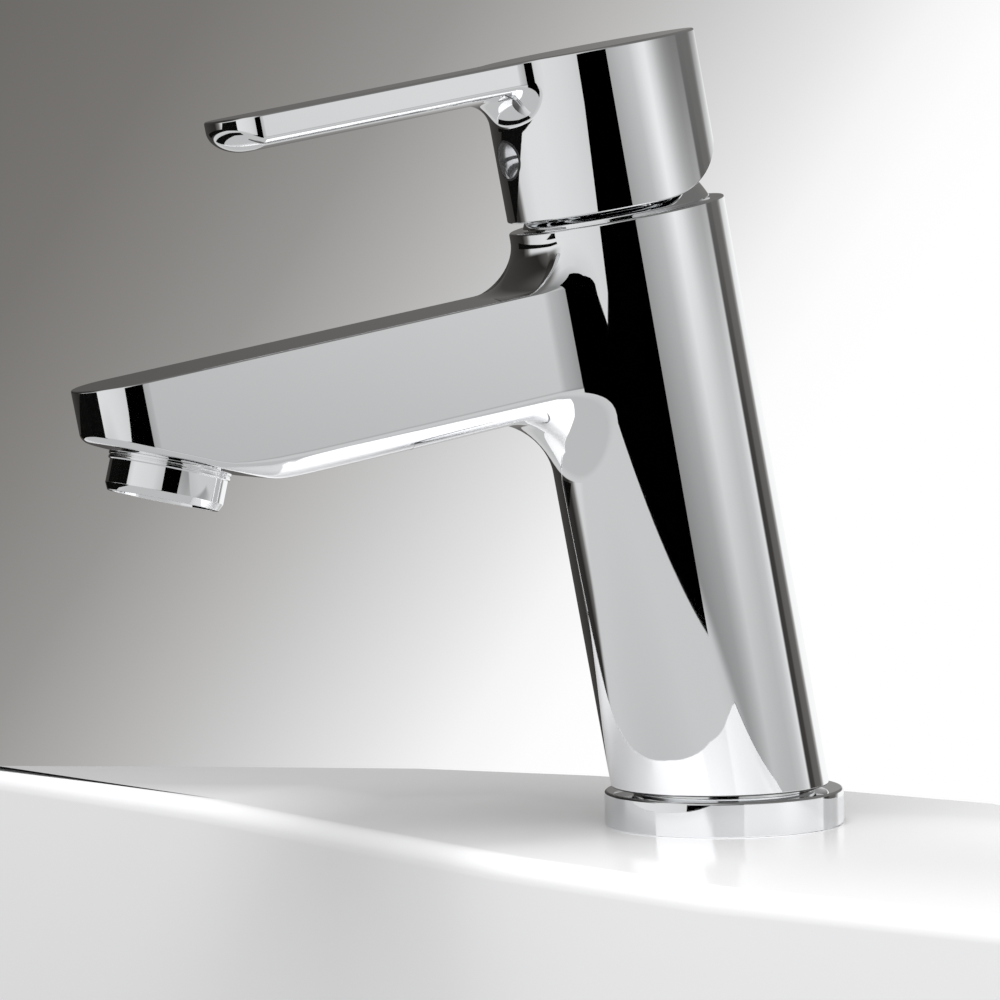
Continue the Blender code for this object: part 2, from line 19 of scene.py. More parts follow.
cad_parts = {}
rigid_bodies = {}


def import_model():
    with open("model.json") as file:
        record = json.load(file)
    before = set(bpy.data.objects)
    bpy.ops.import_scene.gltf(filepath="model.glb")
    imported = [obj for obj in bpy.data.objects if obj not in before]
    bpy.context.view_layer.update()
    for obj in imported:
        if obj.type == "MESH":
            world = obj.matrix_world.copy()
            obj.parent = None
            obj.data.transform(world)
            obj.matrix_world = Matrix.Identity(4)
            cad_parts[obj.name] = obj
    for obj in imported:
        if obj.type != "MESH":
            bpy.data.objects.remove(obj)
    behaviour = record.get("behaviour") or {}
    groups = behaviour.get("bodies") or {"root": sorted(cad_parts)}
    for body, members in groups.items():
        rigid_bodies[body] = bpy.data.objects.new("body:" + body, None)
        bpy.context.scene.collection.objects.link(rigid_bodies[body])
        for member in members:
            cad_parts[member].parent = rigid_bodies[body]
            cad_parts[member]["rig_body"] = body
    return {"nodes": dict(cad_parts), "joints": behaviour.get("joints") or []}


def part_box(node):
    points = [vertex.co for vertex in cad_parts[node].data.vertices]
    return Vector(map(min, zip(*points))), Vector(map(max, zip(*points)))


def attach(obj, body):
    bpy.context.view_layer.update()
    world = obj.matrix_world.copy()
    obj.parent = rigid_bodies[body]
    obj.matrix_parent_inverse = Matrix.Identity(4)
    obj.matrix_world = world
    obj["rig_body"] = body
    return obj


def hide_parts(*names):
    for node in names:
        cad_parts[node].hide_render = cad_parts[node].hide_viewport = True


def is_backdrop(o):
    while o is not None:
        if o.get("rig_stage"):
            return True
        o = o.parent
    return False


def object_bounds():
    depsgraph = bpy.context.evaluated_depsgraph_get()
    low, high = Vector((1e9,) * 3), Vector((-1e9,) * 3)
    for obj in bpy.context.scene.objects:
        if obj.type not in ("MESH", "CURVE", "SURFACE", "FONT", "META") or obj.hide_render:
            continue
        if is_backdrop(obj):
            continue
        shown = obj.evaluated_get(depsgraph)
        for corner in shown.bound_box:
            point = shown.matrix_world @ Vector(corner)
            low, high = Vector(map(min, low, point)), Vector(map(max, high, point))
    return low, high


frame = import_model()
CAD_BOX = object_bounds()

MM = 0.001
WELD_MM = 1e-4
MERGE_M = 1e-7
Point = tuple[float, float, float]
Outline = tuple[float, float, float, float]
Stops = tuple[Point, ...]
OUTLET_TILT = 13.5
HONEYCOMB_ROWS = 23
log = logging.getLogger("basin_mixer")


# ---- small helpers -------------------------------------------------------------------
def spread(low: float, high: float, count: int) -> list[float]:
    """Even values from low to high, both included, with count steps between them."""
    return [low + (high - low) * i / count for i in range(count + 1)]


def chain(*runs: Sequence[float]) -> list[float]:
    """Joins runs of values that share their end values."""
    joined = list(runs[0])
    for run in runs[1:]:
        joined += list(run)[1:]
    return joined


def smoothstep(low: float, high: float, value: float) -> float:
    """0 below low, 1 above high, and a soft rise between them."""
    t = min(1.0, max(0.0, (value - low) / (high - low)))
    return t * t * (3.0 - 2.0 * t)


def rounded(corners: Sequence[Point], steps: int = 5) -> list[tuple[float, float]]:
    """Turns a polyline with a radius at each corner into points along lines and arcs.

    Args:
        corners: radius from the axis, height and rounding radius of each corner.
        steps: arc steps at each rounded corner.

    Returns:
        Points of radius and height.
    """
    points: list[tuple[float, float]] = []
    for i, (r, u, fillet) in enumerate(corners):
        here = Vector((r, u))
        if fillet <= 0 or i in (0, len(corners) - 1):
            points.append((r, u))
            continue
        back = (Vector(corners[i - 1][:2]) - here).normalized()
        ahead = (Vector(corners[i + 1][:2]) - here).normalized()
        half = back.angle(ahead) / 2
        centre = here + (back + ahead).normalized() * (fillet / math.sin(half))
        reach = fillet / math.tan(half)
        start = here + back * reach - centre
        swing = start.angle_signed(here + ahead * reach - centre)
        for k in range(steps + 1):
            turned = Matrix.Rotation(-swing * k / steps, 2) @ start
            points.append(tuple(centre + turned))
    return points


@dataclass(frozen=True)
class Axis:
    """A straight axis of the faucet, with its origin in metres."""

    origin: Vector
    up: Vector

    @property
    def forward(self) -> Vector:
        """The direction square to the axis that points the way the spout does."""
        return Vector((1, 0, 0)).cross(self.up)

    def direction(self, x: float, v: float, u: float) -> Vector:
        """A direction across, forward and up, in the frame."""
        return Vector((x, 0, 0)) + self.forward * v + self.up * u

    def point(self, x: float, v: float, u: float) -> Vector:
        """A point given in millimetres across, forward and up, in the frame."""
        return self.origin + self.direction(x, v, u) * MM

    @classmethod
    def of_hinge(cls, name: str) -> "Axis":
        """The axis of a hinge, with its origin where it meets the deck."""
        hinge = next(joint for joint in frame["joints"] if joint["name"] == name)
        up = Vector(hinge["axis"]).normalized()
        pivot = Vector(hinge["pos_m"])
        return cls(pivot - up * (pivot.z / up.z), up)

    @classmethod
    def upright(cls, x: float = 0.0, y: float = 0.0, z: float = 0.0) -> "Axis":
        """A vertical axis that starts at a point in metres."""
        return cls(Vector((x, y, z)), Vector((0, 0, 1)))

    @classmethod
    def through(cls, node: str) -> tuple["Axis", float]:
        """The vertical axis up a CAD node from its foot, and the node's height in millimetres."""
        low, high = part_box(node)
        axis = cls.upright((low.x + high.x) / 2, (low.y + high.y) / 2, low.z)
        return axis, (high.z - low.z) / MM


class Skin:
    """A closed surface gathered from patches that carry their own exact normals."""

    flat_run = 3.0
    nudge = 1e-4

    def __init__(self, axis: Axis) -> None:
        """Starts an empty surface on an axis."""
        self.axis = axis
        self.index: dict[tuple[int, int, int], int] = {}
        self.points: list[Sequence[float]] = []
        self.normals: list[Sequence[float]] = []
        self.faces: list[tuple[int, ...]] = []

    def corner(self, point: Sequence[float], normal: Sequence[float]) -> int:
        """Returns the number of the vertex at a point, which is new if none is there yet."""
        key = tuple(int(round(c / WELD_MM)) for c in point)
        if key not in self.index:
            self.index[key] = len(self.points)
            self.points.append(point)
            self.normals.append(normal)
        return self.index[key]

    def face(self, ring: Sequence[int]) -> None:
        """Adds a face, without the corners that welding has made one."""
        kept = [c for i, c in enumerate(ring) if c != ring[i - 1]]
        if len(set(kept)) > 2:
            self.faces.append(tuple(kept))

    def grid(self, points: np.ndarray, normals: np.ndarray | None = None) -> None:
        """Adds a grid of points, and its mirror image across x = 0.

        Args:
            points: rows by columns of points.
            normals: a normal for each point; worked out from the faces if left out.
        """
        points = np.asarray(points, float)
        normals = np.zeros_like(points) if normals is None else np.asarray(normals, float)
        for side in (1.0, -1.0):
            flip = np.array((side, 1.0, 1.0))
            ids = [
                [self.corner(p * flip, n * flip) for p, n in zip(row, slopes)]
                for row, slopes in zip(points, normals)
            ]
            for near, far in zip(ids, ids[1:]):
                for j in range(len(near) - 1):
                    self.face((near[j], near[j + 1], far[j + 1], far[j]))

    def patch(
        self, place: Callable[[float, float], Point], rows: Sequence[float],
        columns: Sequence[float],
    ) -> np.ndarray:
        """Adds a patch of a smooth function of two parameters, with its exact normals.

        Args:
            place: gives the point at a row and a column parameter.
            rows: row parameters in order.
            columns: column parameters in order.

        Returns:
            The patch's points, rows by columns.
        """
        nudge = self.nudge
        points = np.zeros((len(rows), len(columns), 3))
        normals = np.zeros_like(points)
        for i, s in enumerate(rows):
            for j, t in enumerate(columns):
                points[i, j] = place(s, t)
                along = np.subtract(
                    place(min(s + nudge, rows[-1]), t), place(max(s - nudge, rows[0]), t)
                )
                across = np.subtract(
                    place(s, min(t + nudge, columns[-1])), place(s, max(t - nudge, columns[0]))
                )
                normal = np.cross(along, across)
                size = np.linalg.norm(normal)
                if size > 1e-12:
                    normals[i, j] = normal / size
        self.grid(points, normals)
        return points

    def turned(self, profile: Sequence[tuple[float, float]], angles: Sequence[float]) -> None:
        """Adds a profile of radius and height turned through angles from the front."""
        slope = np.gradient(np.array(profile), axis=0)
        points, normals = [], []
        for i, (r, u) in enumerate(profile):
            before = np.subtract(profile[i], profile[max(i - 1, 0)])
            after = np.subtract(profile[min(i + 1, len(profile) - 1)], profile[i])
            back, ahead = np.linalg.norm(before), np.linalg.norm(after)
            tangent = slope[i]
            if min(back, ahead) > 0:
                tangent = before / back ** 2 + after / ahead ** 2
                if max(back, ahead) > self.flat_run * min(back, ahead):
                    tangent = before if back > ahead else after
            out = np.array((-tangent[1], tangent[0])) / max(np.linalg.norm(tangent), 1e-12)
            points.append([(r * math.sin(a), r * math.cos(a), u) for a in angles])
            normals.append([(out[0] * math.sin(a), out[0] * math.cos(a), out[1]) for a in angles])
        self.grid(points, normals)

    def build(self, name: str, finish: "Finish") -> bpy.types.Object:
        """Makes the surface an object in the frame, with its faces pointing out.

        Args:
            name: the object's name.
            finish: what it is made of.

        Returns:
            The new object, at the frame's origin.
        """
        mesh = bpy.data.meshes.new(name)
        mesh.from_pydata([self.axis.point(*p) for p in self.points], [], self.faces)
        bm = bmesh.new()
        bm.from_mesh(mesh)
        bmesh.ops.recalc_face_normals(bm, faces=bm.faces)
        bm.normal_update()
        open_edges = sum(1 for edge in bm.edges if len(edge.link_faces) != 2)
        normals = []
        for vertex, given in zip(bm.verts, self.normals):
            normal = self.axis.direction(*given)
            if normal.length < 0.5:
                normal = vertex.normal
            normals.append(normal if normal.dot(vertex.normal) > 0 else -normal)
        bm.to_mesh(mesh)
        bm.free()
        mesh.shade_smooth()
        mesh.normals_split_custom_set_from_vertices(normals)
        obj = bpy.data.objects.new(name, mesh)
        bpy.context.scene.collection.objects.link(obj)
        finish.dress(obj)
        if open_edges:
            log.warning("%s: %d open edges", name, open_edges)
        return obj


def half_turn(count: int) -> list[float]:
    """Angles from the front round to the back."""
    return spread(0.0, math.pi, count)


def turned_piece(
    name: str, axis: Axis, profile: Sequence[tuple[float, float]], finish: "Finish", steps: int = 64
) -> bpy.types.Object:
    """Makes a piece that is one profile turned about an axis.

    Args:
        name: the object's name.
        axis: what it is turned about.
        profile: points of radius and height; it is closed if it doesn't end on the axis.
        finish: what it is made of.
        steps: faces round half of it.

    Returns:
        The new object.
    """
    skin = Skin(axis)
    ring = list(profile)
    if ring[0][0] > 0 or ring[-1][0] > 0:
        ring.append(ring[0])
    skin.turned(ring, half_turn(steps))
    return skin.build(name, finish)


# ---- finishes ------------------------------------------------------------------------
class Grain(Enum):
    """What the fine surface of a material looks like."""

    POLISHED = "polished"
    MOULDED = "moulded"
    MACHINED = "machined"


def wear_group() -> bpy.types.NodeTree:
    """The shared node group of fine wear, built once.

    Returns:
        A group with Scale and Stretch inputs, and Haze, Grain and Height outputs.
    """
    name = "fine_wear"
    if name in bpy.data.node_groups:
        return bpy.data.node_groups[name]
    group = bpy.data.node_groups.new(name, "ShaderNodeTree")
    sockets = group.interface
    scale = sockets.new_socket("Scale", in_out="INPUT", socket_type="NodeSocketFloat")
    scale.default_value = 100.0
    sockets.new_socket("Stretch", in_out="INPUT", socket_type="NodeSocketVector")
    for out in ("Haze", "Grain", "Height"):
        sockets.new_socket(out, in_out="OUTPUT", socket_type="NodeSocketFloat")
    nodes, links = group.nodes, group.links
    entry = nodes.new("NodeGroupInput")
    leave = nodes.new("NodeGroupOutput")
    coordinates = nodes.new("ShaderNodeTexCoord")
    stretched = nodes.new("ShaderNodeVectorMath")
    stretched.operation = "MULTIPLY"
    links.new(coordinates.outputs["Object"], stretched.inputs[0])
    links.new(entry.outputs["Stretch"], stretched.inputs[1])

    def noise(factor: float, detail: float) -> bpy.types.Node:
        """A noise texture whose scale is the group's own times a factor."""
        texture = nodes.new("ShaderNodeTexNoise")
        texture.inputs["Detail"].default_value = detail
        times = nodes.new("ShaderNodeMath")
        times.operation = "MULTIPLY"
        times.inputs[1].default_value = factor
        links.new(entry.outputs["Scale"], times.inputs[0])
        links.new(times.outputs[0], texture.inputs["Scale"])
        links.new(stretched.outputs[0], texture.inputs["Vector"])
        return texture

    haze = noise(0.12, 3.0)
    grain = noise(4.0, 5.0)
    smooth = nodes.new("ShaderNodeMapRange")
    smooth.interpolation_type = "SMOOTHSTEP"
    smooth.inputs["From Min"].default_value = 0.35
    smooth.inputs["From Max"].default_value = 0.70
    links.new(haze.outputs["Fac"], smooth.inputs["Value"])
    height = nodes.new("ShaderNodeMath")
    height.operation = "MULTIPLY_ADD"
    height.inputs[1].default_value = 0.35
    links.new(smooth.outputs[0], height.inputs[0])
    links.new(grain.outputs["Fac"], height.inputs[2])
    links.new(smooth.outputs[0], leave.inputs["Haze"])
    links.new(grain.outputs["Fac"], leave.inputs["Grain"])
    links.new(height.outputs[0], leave.inputs["Height"])
    return group


@dataclass(frozen=True)
class Finish:
    """One material of the faucet.

    Args:
        name: the material's name.
        slot: the record's material slot.
        colour: its colour where it is clean.
        hazed: its colour where it is hazed or worn.
        metallic: 1 for metal.
        gloss: roughness where it is clean and where it is hazed.
        grain: what its fine surface looks like.
        scale: cells of grain to a metre.
        relief: depth of the grain in metres.
        coat: weight of a clear coat.
        clear: how far light passes through it.
    """

    name: str
    slot: str
    colour: Point
    hazed: Point
    metallic: float = 0.0
    gloss: tuple[float, float] = (0.3, 0.5)
    grain: Grain = Grain.MOULDED
    scale: float = 900.0
    relief: float = 0.0
    coat: float = 0.0
    clear: float = 0.0

    def material(self) -> bpy.types.Material:
        """Returns the finish's material, built on first use."""
        if self.name in bpy.data.materials:
            return bpy.data.materials[self.name]
        mat = bpy.data.materials.new(self.name)
        mat.use_nodes = True
        mat.diffuse_color = (*self.colour, 1.0)
        nodes, links = mat.node_tree.nodes, mat.node_tree.links
        shader = nodes["Principled BSDF"]
        shader.inputs["Metallic"].default_value = self.metallic
        shader.inputs["Coat Weight"].default_value = self.coat
        shader.inputs["Coat Roughness"].default_value = 0.03
        shader.inputs["Transmission Weight"].default_value = self.clear
        shader.inputs["IOR"].default_value = 1.49
        wear = nodes.new("ShaderNodeGroup")
        wear.node_tree = wear_group()
        wear.inputs["Scale"].default_value = self.scale
        stretch = (1.0, 1.0, 0.06) if self.grain is Grain.MACHINED else (1.0, 1.0, 1.0)
        wear.inputs["Stretch"].default_value = stretch
        mask = "Haze" if self.grain is Grain.POLISHED else "Grain"
        colour = nodes.new("ShaderNodeMix")
        colour.data_type = "RGBA"
        colour.inputs["A"].default_value = (*self.colour, 1.0)
        colour.inputs["B"].default_value = (*self.hazed, 1.0)
        links.new(wear.outputs[mask], colour.inputs["Factor"])
        links.new(colour.outputs["Result"], shader.inputs["Base Color"])
        rough = nodes.new("ShaderNodeMapRange")
        rough.inputs["To Min"].default_value = self.gloss[0]
        rough.inputs["To Max"].default_value = self.gloss[1]
        links.new(wear.outputs["Haze"], rough.inputs["Value"])
        links.new(rough.outputs[0], shader.inputs["Roughness"])
        if self.relief > 0:
            bump = nodes.new("ShaderNodeBump")
            bump.inputs["Strength"].default_value = 0.6
            bump.inputs["Distance"].default_value = self.relief
            links.new(wear.outputs["Height"], bump.inputs["Height"])
            links.new(bump.outputs["Normal"], shader.inputs["Normal"])
        return mat

    def dress(self, obj: bpy.types.Object) -> None:
        """Gives an object this finish alone."""
        obj.data.materials.clear()
        obj.data.materials.append(self.material())


CHROME = Finish(
    "chrome_plate", "chrome", (0.93, 0.94, 0.95), (0.90, 0.91, 0.92), 1.0, (0.012, 0.035),
    Grain.POLISHED, 60.0,
)
SATIN_CHROME = Finish(
    "satin_chrome", "chrome", (0.90, 0.91, 0.92), (0.84, 0.85, 0.86), 1.0, (0.05, 0.12),
    Grain.POLISHED, 120.0,
)
SILVERED = Finish(
    "silvered_backing", "clear_plastic", (0.88, 0.89, 0.91), (0.70, 0.71, 0.74), 1.0,
    (0.03, 0.10), Grain.POLISHED, 700.0,
)
CLEAR = Finish(
    "clear_lens", "clear_plastic", (0.97, 0.98, 0.99), (0.92, 0.93, 0.95), 0.0, (0.01, 0.04),
    Grain.POLISHED, 300.0, clear=0.9,
)
BRASS = Finish(
    "machined_brass", "brass", (0.80, 0.60, 0.30), (0.58, 0.40, 0.18), 1.0, (0.22, 0.42),
    Grain.MACHINED, 2500.0, 0.00002,
)
STEEL = Finish(
    "zinc_plated_steel", "steel", (0.64, 0.65, 0.67), (0.48, 0.49, 0.50), 1.0, (0.25, 0.45),
    Grain.MACHINED, 2500.0, 0.00002,
)
ALUMINA = Finish(
    "lapped_alumina", "ceramic", (0.93, 0.91, 0.87), (0.86, 0.84, 0.79), 0.0, (0.12, 0.28),
    Grain.MOULDED, 5000.0, 0.000004, coat=0.3,
)
# Black rubber of the seals, washers and gasket; the same dark finish also paints the shade of the
# gap round the indicator plug.
RUBBER_AND_GAP_SHADE = Finish(
    "black_rubber_and_gap_shade", "rubber", (0.022, 0.022, 0.024), (0.060, 0.058, 0.056), 0.0, (0.65, 0.90),
    Grain.MOULDED, 3500.0, 0.00003,
)
WHITE = Finish(
    "white_acetal", "white_plastic", (0.86, 0.86, 0.84), (0.77, 0.77, 0.75), 0.0, (0.35, 0.50),
    Grain.MOULDED, 4000.0, 0.00001,
)
GREY = Finish(
    "grey_acetal", "grey_plastic", (0.34, 0.35, 0.36), (0.26, 0.27, 0.28), 0.0, (0.40, 0.58),
    Grain.MOULDED, 4000.0, 0.00001,
)
INSERT = Finish(
    "aerator_plastic", "white_plastic", (0.62, 0.63, 0.65), (0.52, 0.53, 0.55), 0.0,
    (0.30, 0.50), Grain.MOULDED, 4000.0, 0.00001,
)


# ---- geometry nodes ------------------------------------------------------------------
class NodeRecipe:
    """A Geometry Nodes tree with named inputs, ending in realized and painted geometry."""

    def __init__(self, name: str, inputs: dict[str, float]) -> None:
        """Starts a tree whose inputs are floats with the given defaults."""
        self.tree = bpy.data.node_groups.new(name, "GeometryNodeTree")
        self.defaults = inputs
        self.sockets: dict[str, str] = {}
        for label, value in inputs.items():
            socket = self.tree.interface.new_socket(
                label, in_out="INPUT", socket_type="NodeSocketFloat"
            )
            socket.default_value = value
            self.sockets[label] = socket.identifier
        self.tree.interface.new_socket(
            "Geometry", in_out="OUTPUT", socket_type="NodeSocketGeometry"
        )
        self.entry = self.tree.nodes.new("NodeGroupInput")

    def node(self, kind: str, links: dict | None = None, **settings: object) -> bpy.types.Node:
        """Adds a node, with its properties and its inputs.

        Args:
            kind: the node's type.
            links: input name or number to a value or to another node's output socket.
            settings: the node's own properties.

        Returns:
            The new node.
        """
        made = self.tree.nodes.new(kind)
        for key, value in settings.items():
            setattr(made, key, value)
        for key, value in (links or {}).items():
            if isinstance(value, bpy.types.NodeSocket):
                self.tree.links.new(value, made.inputs[key])
            else:
                made.inputs[key].default_value = value
        return made

    def value(self, label: str) -> bpy.types.NodeSocket:
        """The socket of a named input."""
        return self.entry.outputs[label]

    def maths(self, operation: str, *terms: object) -> bpy.types.NodeSocket:
        """The output of a Math node on values or sockets."""
        return self.node("ShaderNodeMath", dict(enumerate(terms)), operation=operation).outputs[0]

    def finish(self, geometry: bpy.types.NodeSocket, finish: Finish) -> None:
        """Ends the tree in Realize Instances and Set Material."""
        real = self.node("GeometryNodeRealizeInstances", {"Geometry": geometry})
        painted = self.node("GeometryNodeSetMaterial", {"Geometry": real.outputs[0]})
        painted.inputs["Material"].default_value = finish.material()
        leave = self.tree.nodes.new("NodeGroupOutput")
        self.tree.links.new(painted.outputs[0], leave.inputs[0])

    def grow(self, name: str, matrix: Matrix, finish: Finish, **sizes: float) -> bpy.types.Object:
        """Runs the tree and returns its result as a plain mesh object.

        Args:
            name: the object's name.
            matrix: where the result goes in the frame.
            finish: what it is made of.
            sizes: values of named inputs, in metres or as counts.

        Returns:
            The new object, at the frame's origin.
        """
        holder = bpy.data.objects.new(name + "_recipe", bpy.data.meshes.new(name + "_recipe"))
        bpy.context.scene.collection.objects.link(holder)
        modifier = holder.modifiers.new("recipe", "NODES")
        modifier.node_group = self.tree
        for label, value in {**self.defaults, **sizes}.items():
            modifier[self.sockets[label]] = float(value)
        bpy.context.view_layer.update()
        graph = bpy.context.evaluated_depsgraph_get()
        mesh = bpy.data.meshes.new_from_object(holder.evaluated_get(graph))
        bpy.data.objects.remove(holder, do_unlink=True)
        mesh.transform(matrix)
        mesh.name = name
        bm = bmesh.new()
        bm.from_mesh(mesh)
        bmesh.ops.remove_doubles(bm, verts=bm.verts, dist=MERGE_M)
        bmesh.ops.recalc_face_normals(bm, faces=bm.faces)
        bm.to_mesh(mesh)
        bm.free()
        mesh.shade_smooth()
        mesh.set_sharp_from_angle(angle=math.radians(40))
        obj = bpy.data.objects.new(name, mesh)
        bpy.context.scene.collection.objects.link(obj)
        finish.dress(obj)
        return obj


def thread_recipe(finish: Finish) -> NodeRecipe:
    """A rounded thread wound round a shaft.

    Args:
        finish: what the thread is made of.

    Returns:
        A recipe with the inputs Radius, Pitch, Length and Ridge.
    """
    recipe = NodeRecipe(
        "wound_thread", {"Radius": 0.0035, "Pitch": 0.00125, "Length": 0.06, "Ridge": 0.0006}
    )
    turns = recipe.maths("DIVIDE", recipe.value("Length"), recipe.value("Pitch"))
    spiral = recipe.node("GeometryNodeCurveSpiral", {
        "Resolution": 20, "Rotations": turns, "Start Radius": recipe.value("Radius"),
        "End Radius": recipe.value("Radius"), "Height": recipe.value("Length"),
    })
    section = recipe.node("GeometryNodeCurvePrimitiveCircle", {
        "Resolution": 6, "Radius": recipe.value("Ridge"),
    })
    swept = recipe.node("GeometryNodeCurveToMesh", {
        "Curve": spiral.outputs[0], "Profile Curve": section.outputs[0], "Fill Caps": True,
    })
    recipe.finish(swept.outputs[0], finish)
    return recipe


def honeycomb_recipe(finish: Finish) -> NodeRecipe:
    """Six-sided cells packed within a round face.

    Args:
        finish: what the cells are made of.

    Returns:
        A recipe with the inputs Face, Cell and Depth.
    """
    recipe = NodeRecipe("honeycomb_cells", {"Face": 0.009, "Cell": 0.0011, "Depth": 0.0006})
    across = recipe.maths("MULTIPLY", recipe.value("Cell"), math.sqrt(3.0))
    along = recipe.maths("MULTIPLY", recipe.value("Cell"), 1.5)
    index = recipe.node("GeometryNodeInputIndex").outputs[0]
    count = HONEYCOMB_ROWS
    row = recipe.maths("FLOOR", recipe.maths("DIVIDE", index, float(count)))
    column = recipe.maths("SUBTRACT", index, recipe.maths("MULTIPLY", row, float(count)))
    middle = (count - 1) / 2
    odd = recipe.maths("MULTIPLY", recipe.maths("MODULO", row, 2.0), 0.5)
    x = recipe.maths(
        "MULTIPLY", recipe.maths("ADD", recipe.maths("SUBTRACT", column, middle), odd), across
    )
    y = recipe.maths("MULTIPLY", recipe.maths("SUBTRACT", row, middle), along)
    place = recipe.node("ShaderNodeCombineXYZ", {0: x, 1: y})
    points = recipe.node("GeometryNodePoints", {
        "Count": count * count, "Position": place.outputs[0],
    })
    reach = recipe.node("ShaderNodeVectorMath", {0: place.outputs[0]}, operation="LENGTH")
    limit = recipe.maths("SUBTRACT", recipe.value("Face"), recipe.value("Cell"))
    outside = recipe.maths("GREATER_THAN", reach.outputs["Value"], limit)
    kept = recipe.node("GeometryNodeDeleteGeometry", {0: points.outputs[0], "Selection": outside})
    hexagon = recipe.node("GeometryNodeCurvePrimitiveCircle", {
        "Resolution": 6, "Radius": recipe.maths("MULTIPLY", recipe.value("Cell"), 0.86),
    })
    wall = recipe.node("GeometryNodeCurvePrimitiveQuadrilateral", {
        "Width": recipe.maths("MULTIPLY", recipe.value("Cell"), 0.24),
        "Height": recipe.value("Depth"),
    })
    cell = recipe.node("GeometryNodeCurveToMesh", {
        "Curve": hexagon.outputs[0], "Profile Curve": wall.outputs[0],
    })
    turn = recipe.node("FunctionNodeInputVector")
    turn.vector = (0.0, 0.0, math.pi / 6)
    copies = recipe.node("GeometryNodeInstanceOnPoints", {
        "Points": kept.outputs[0], "Instance": cell.outputs[0], "Rotation": turn.outputs[0],
    })
    recipe.finish(copies.outputs[0], finish)
    return recipe


# ---- bars that leave a round barrel ----------------------------------------------------
@dataclass(frozen=True)
class Contact:
    """A point of a bar's cross-section, with its outward normal."""

    x: float
    u: float
    nx: float
    nu: float


@dataclass
class RootFillet:
    """The rounding between a round barrel and a bar, as a ball rolls along it."""

    barrel: float
    side: float
    top: float
    bottom: float

    def radius(self, nu: float) -> float:
        """The ball's radius where the bar's normal rises or falls by nu."""
        end = self.top if nu > 0 else self.bottom
        return self.side + (end - self.side) * nu * nu

    def ball(self, at: Contact) -> tuple[float, float, float, float]:
        """The centre and the radius of the ball that touches both at a contact."""
        r = self.radius(at.nu)
        x = at.x + r * at.nx
        return x, math.sqrt((self.barrel + r) ** 2 - x * x), at.u + r * at.nu, r

    def start(self, at: Contact) -> float:
        """How far forward of the axis the bar begins."""
        return self.ball(at)[1]

    def foot(self, at: Contact) -> tuple[float, float]:
        """The angle from the front and the height where the ball touches the barrel."""
        x, v, u, _ = self.ball(at)
        return math.atan2(x, v), u

    def place(self, at: Contact, s: float) -> Point:
        """A point of the rounding, from the bar at s = 0 to the barrel at s = 1."""
        x, v, u, r = self.ball(at)
        reach = self.barrel + r
        first = (-at.nx, 0.0, -at.nu)
        last = (-x / reach, -v / reach, 0.0)
        swing = math.acos(max(-1.0, min(1.0, sum(a * b for a, b in zip(first, last)))))
        a = math.sin((1 - s) * swing) / math.sin(swing)
        b = math.sin(s * swing) / math.sin(swing)
        return (
            x + r * (a * first[0] + b * last[0]),
            v + r * (a * first[1] + b * last[1]),
            u + r * (a * first[2] + b * last[2]),
        )


def barrel_patch(
    skin: Skin, radius: float, inner: Sequence[tuple[float, float]],
    outer: Sequence[tuple[float, float]], steps: Sequence[float],
) -> None:
    """Covers a round barrel between two lines drawn on it.

    Args:
        skin: the surface that it belongs to.
        radius: the barrel's radius.
        inner: angle and height of each point of the first line.
        outer: the same for the second line.
        steps: shares of the way from the first line to the second.
    """
    points, normals = [], []
    for (a0, u0), (a1, u1) in zip(inner, outer):
        angles = [a0 + (a1 - a0) * s for s in steps]
        heights = [u0 + (u1 - u0) * s for s in steps]
        points.append([
            (radius * math.sin(a), radius * math.cos(a), u) for a, u in zip(angles, heights)
        ])
        normals.append([(math.sin(a), math.cos(a), 0.0) for a in angles])
    skin.grid(np.array(points), np.array(normals))


@dataclass
class Bar:
    """A flat-topped bar that leaves a round barrel forward and ends in a rounded tip."""

    axis: Axis
    radius: float
    half_width: float
    tip: float
    tip_depth: float
    straight_to: float
    root: RootFillet

    @property
    def side_end(self) -> float:
        """Where the straight sides end and the tip begins."""
        return self.tip - self.tip_depth

    def section(self, q: float) -> Contact:
        """The bar's cross-section near its root."""
        raise NotImplementedError

    def rounding(self, q: float, s: float) -> Point:
        """A point of the rounding at the root, from the bar at s = 0 to the barrel at s = 1."""
        return self.root.place(self.section(q), s)

    def shank(self, q: float, s: float) -> Point:
        """A point of the straight part, from the rounding at s = 0 forward to s = 1."""
        at = self.section(q)
        start = self.root.start(at)
        return at.x, start + (self.straight_to - start) * s, at.u

    def outline(self, p: float) -> Outline:
        """The bar seen from above, straight for p to 1 and round the tip for p to 2.

        Args:
            p: how far along.

        Returns:
            The point across and forward, and the outward normal there.
        """
        side_end = self.side_end
        if p <= 1:
            return self.half_width, self.straight_to + (side_end - self.straight_to) * p, 1.0, 0.0
        a = math.pi / 2 * (2 - p)
        nx, nv = math.sin(a) / self.half_width, math.cos(a) / self.tip_depth
        size = math.hypot(nx, nv)
        return (
            self.half_width * math.sin(a), side_end + self.tip_depth * math.cos(a),
            nx / size, nv / size,
        )


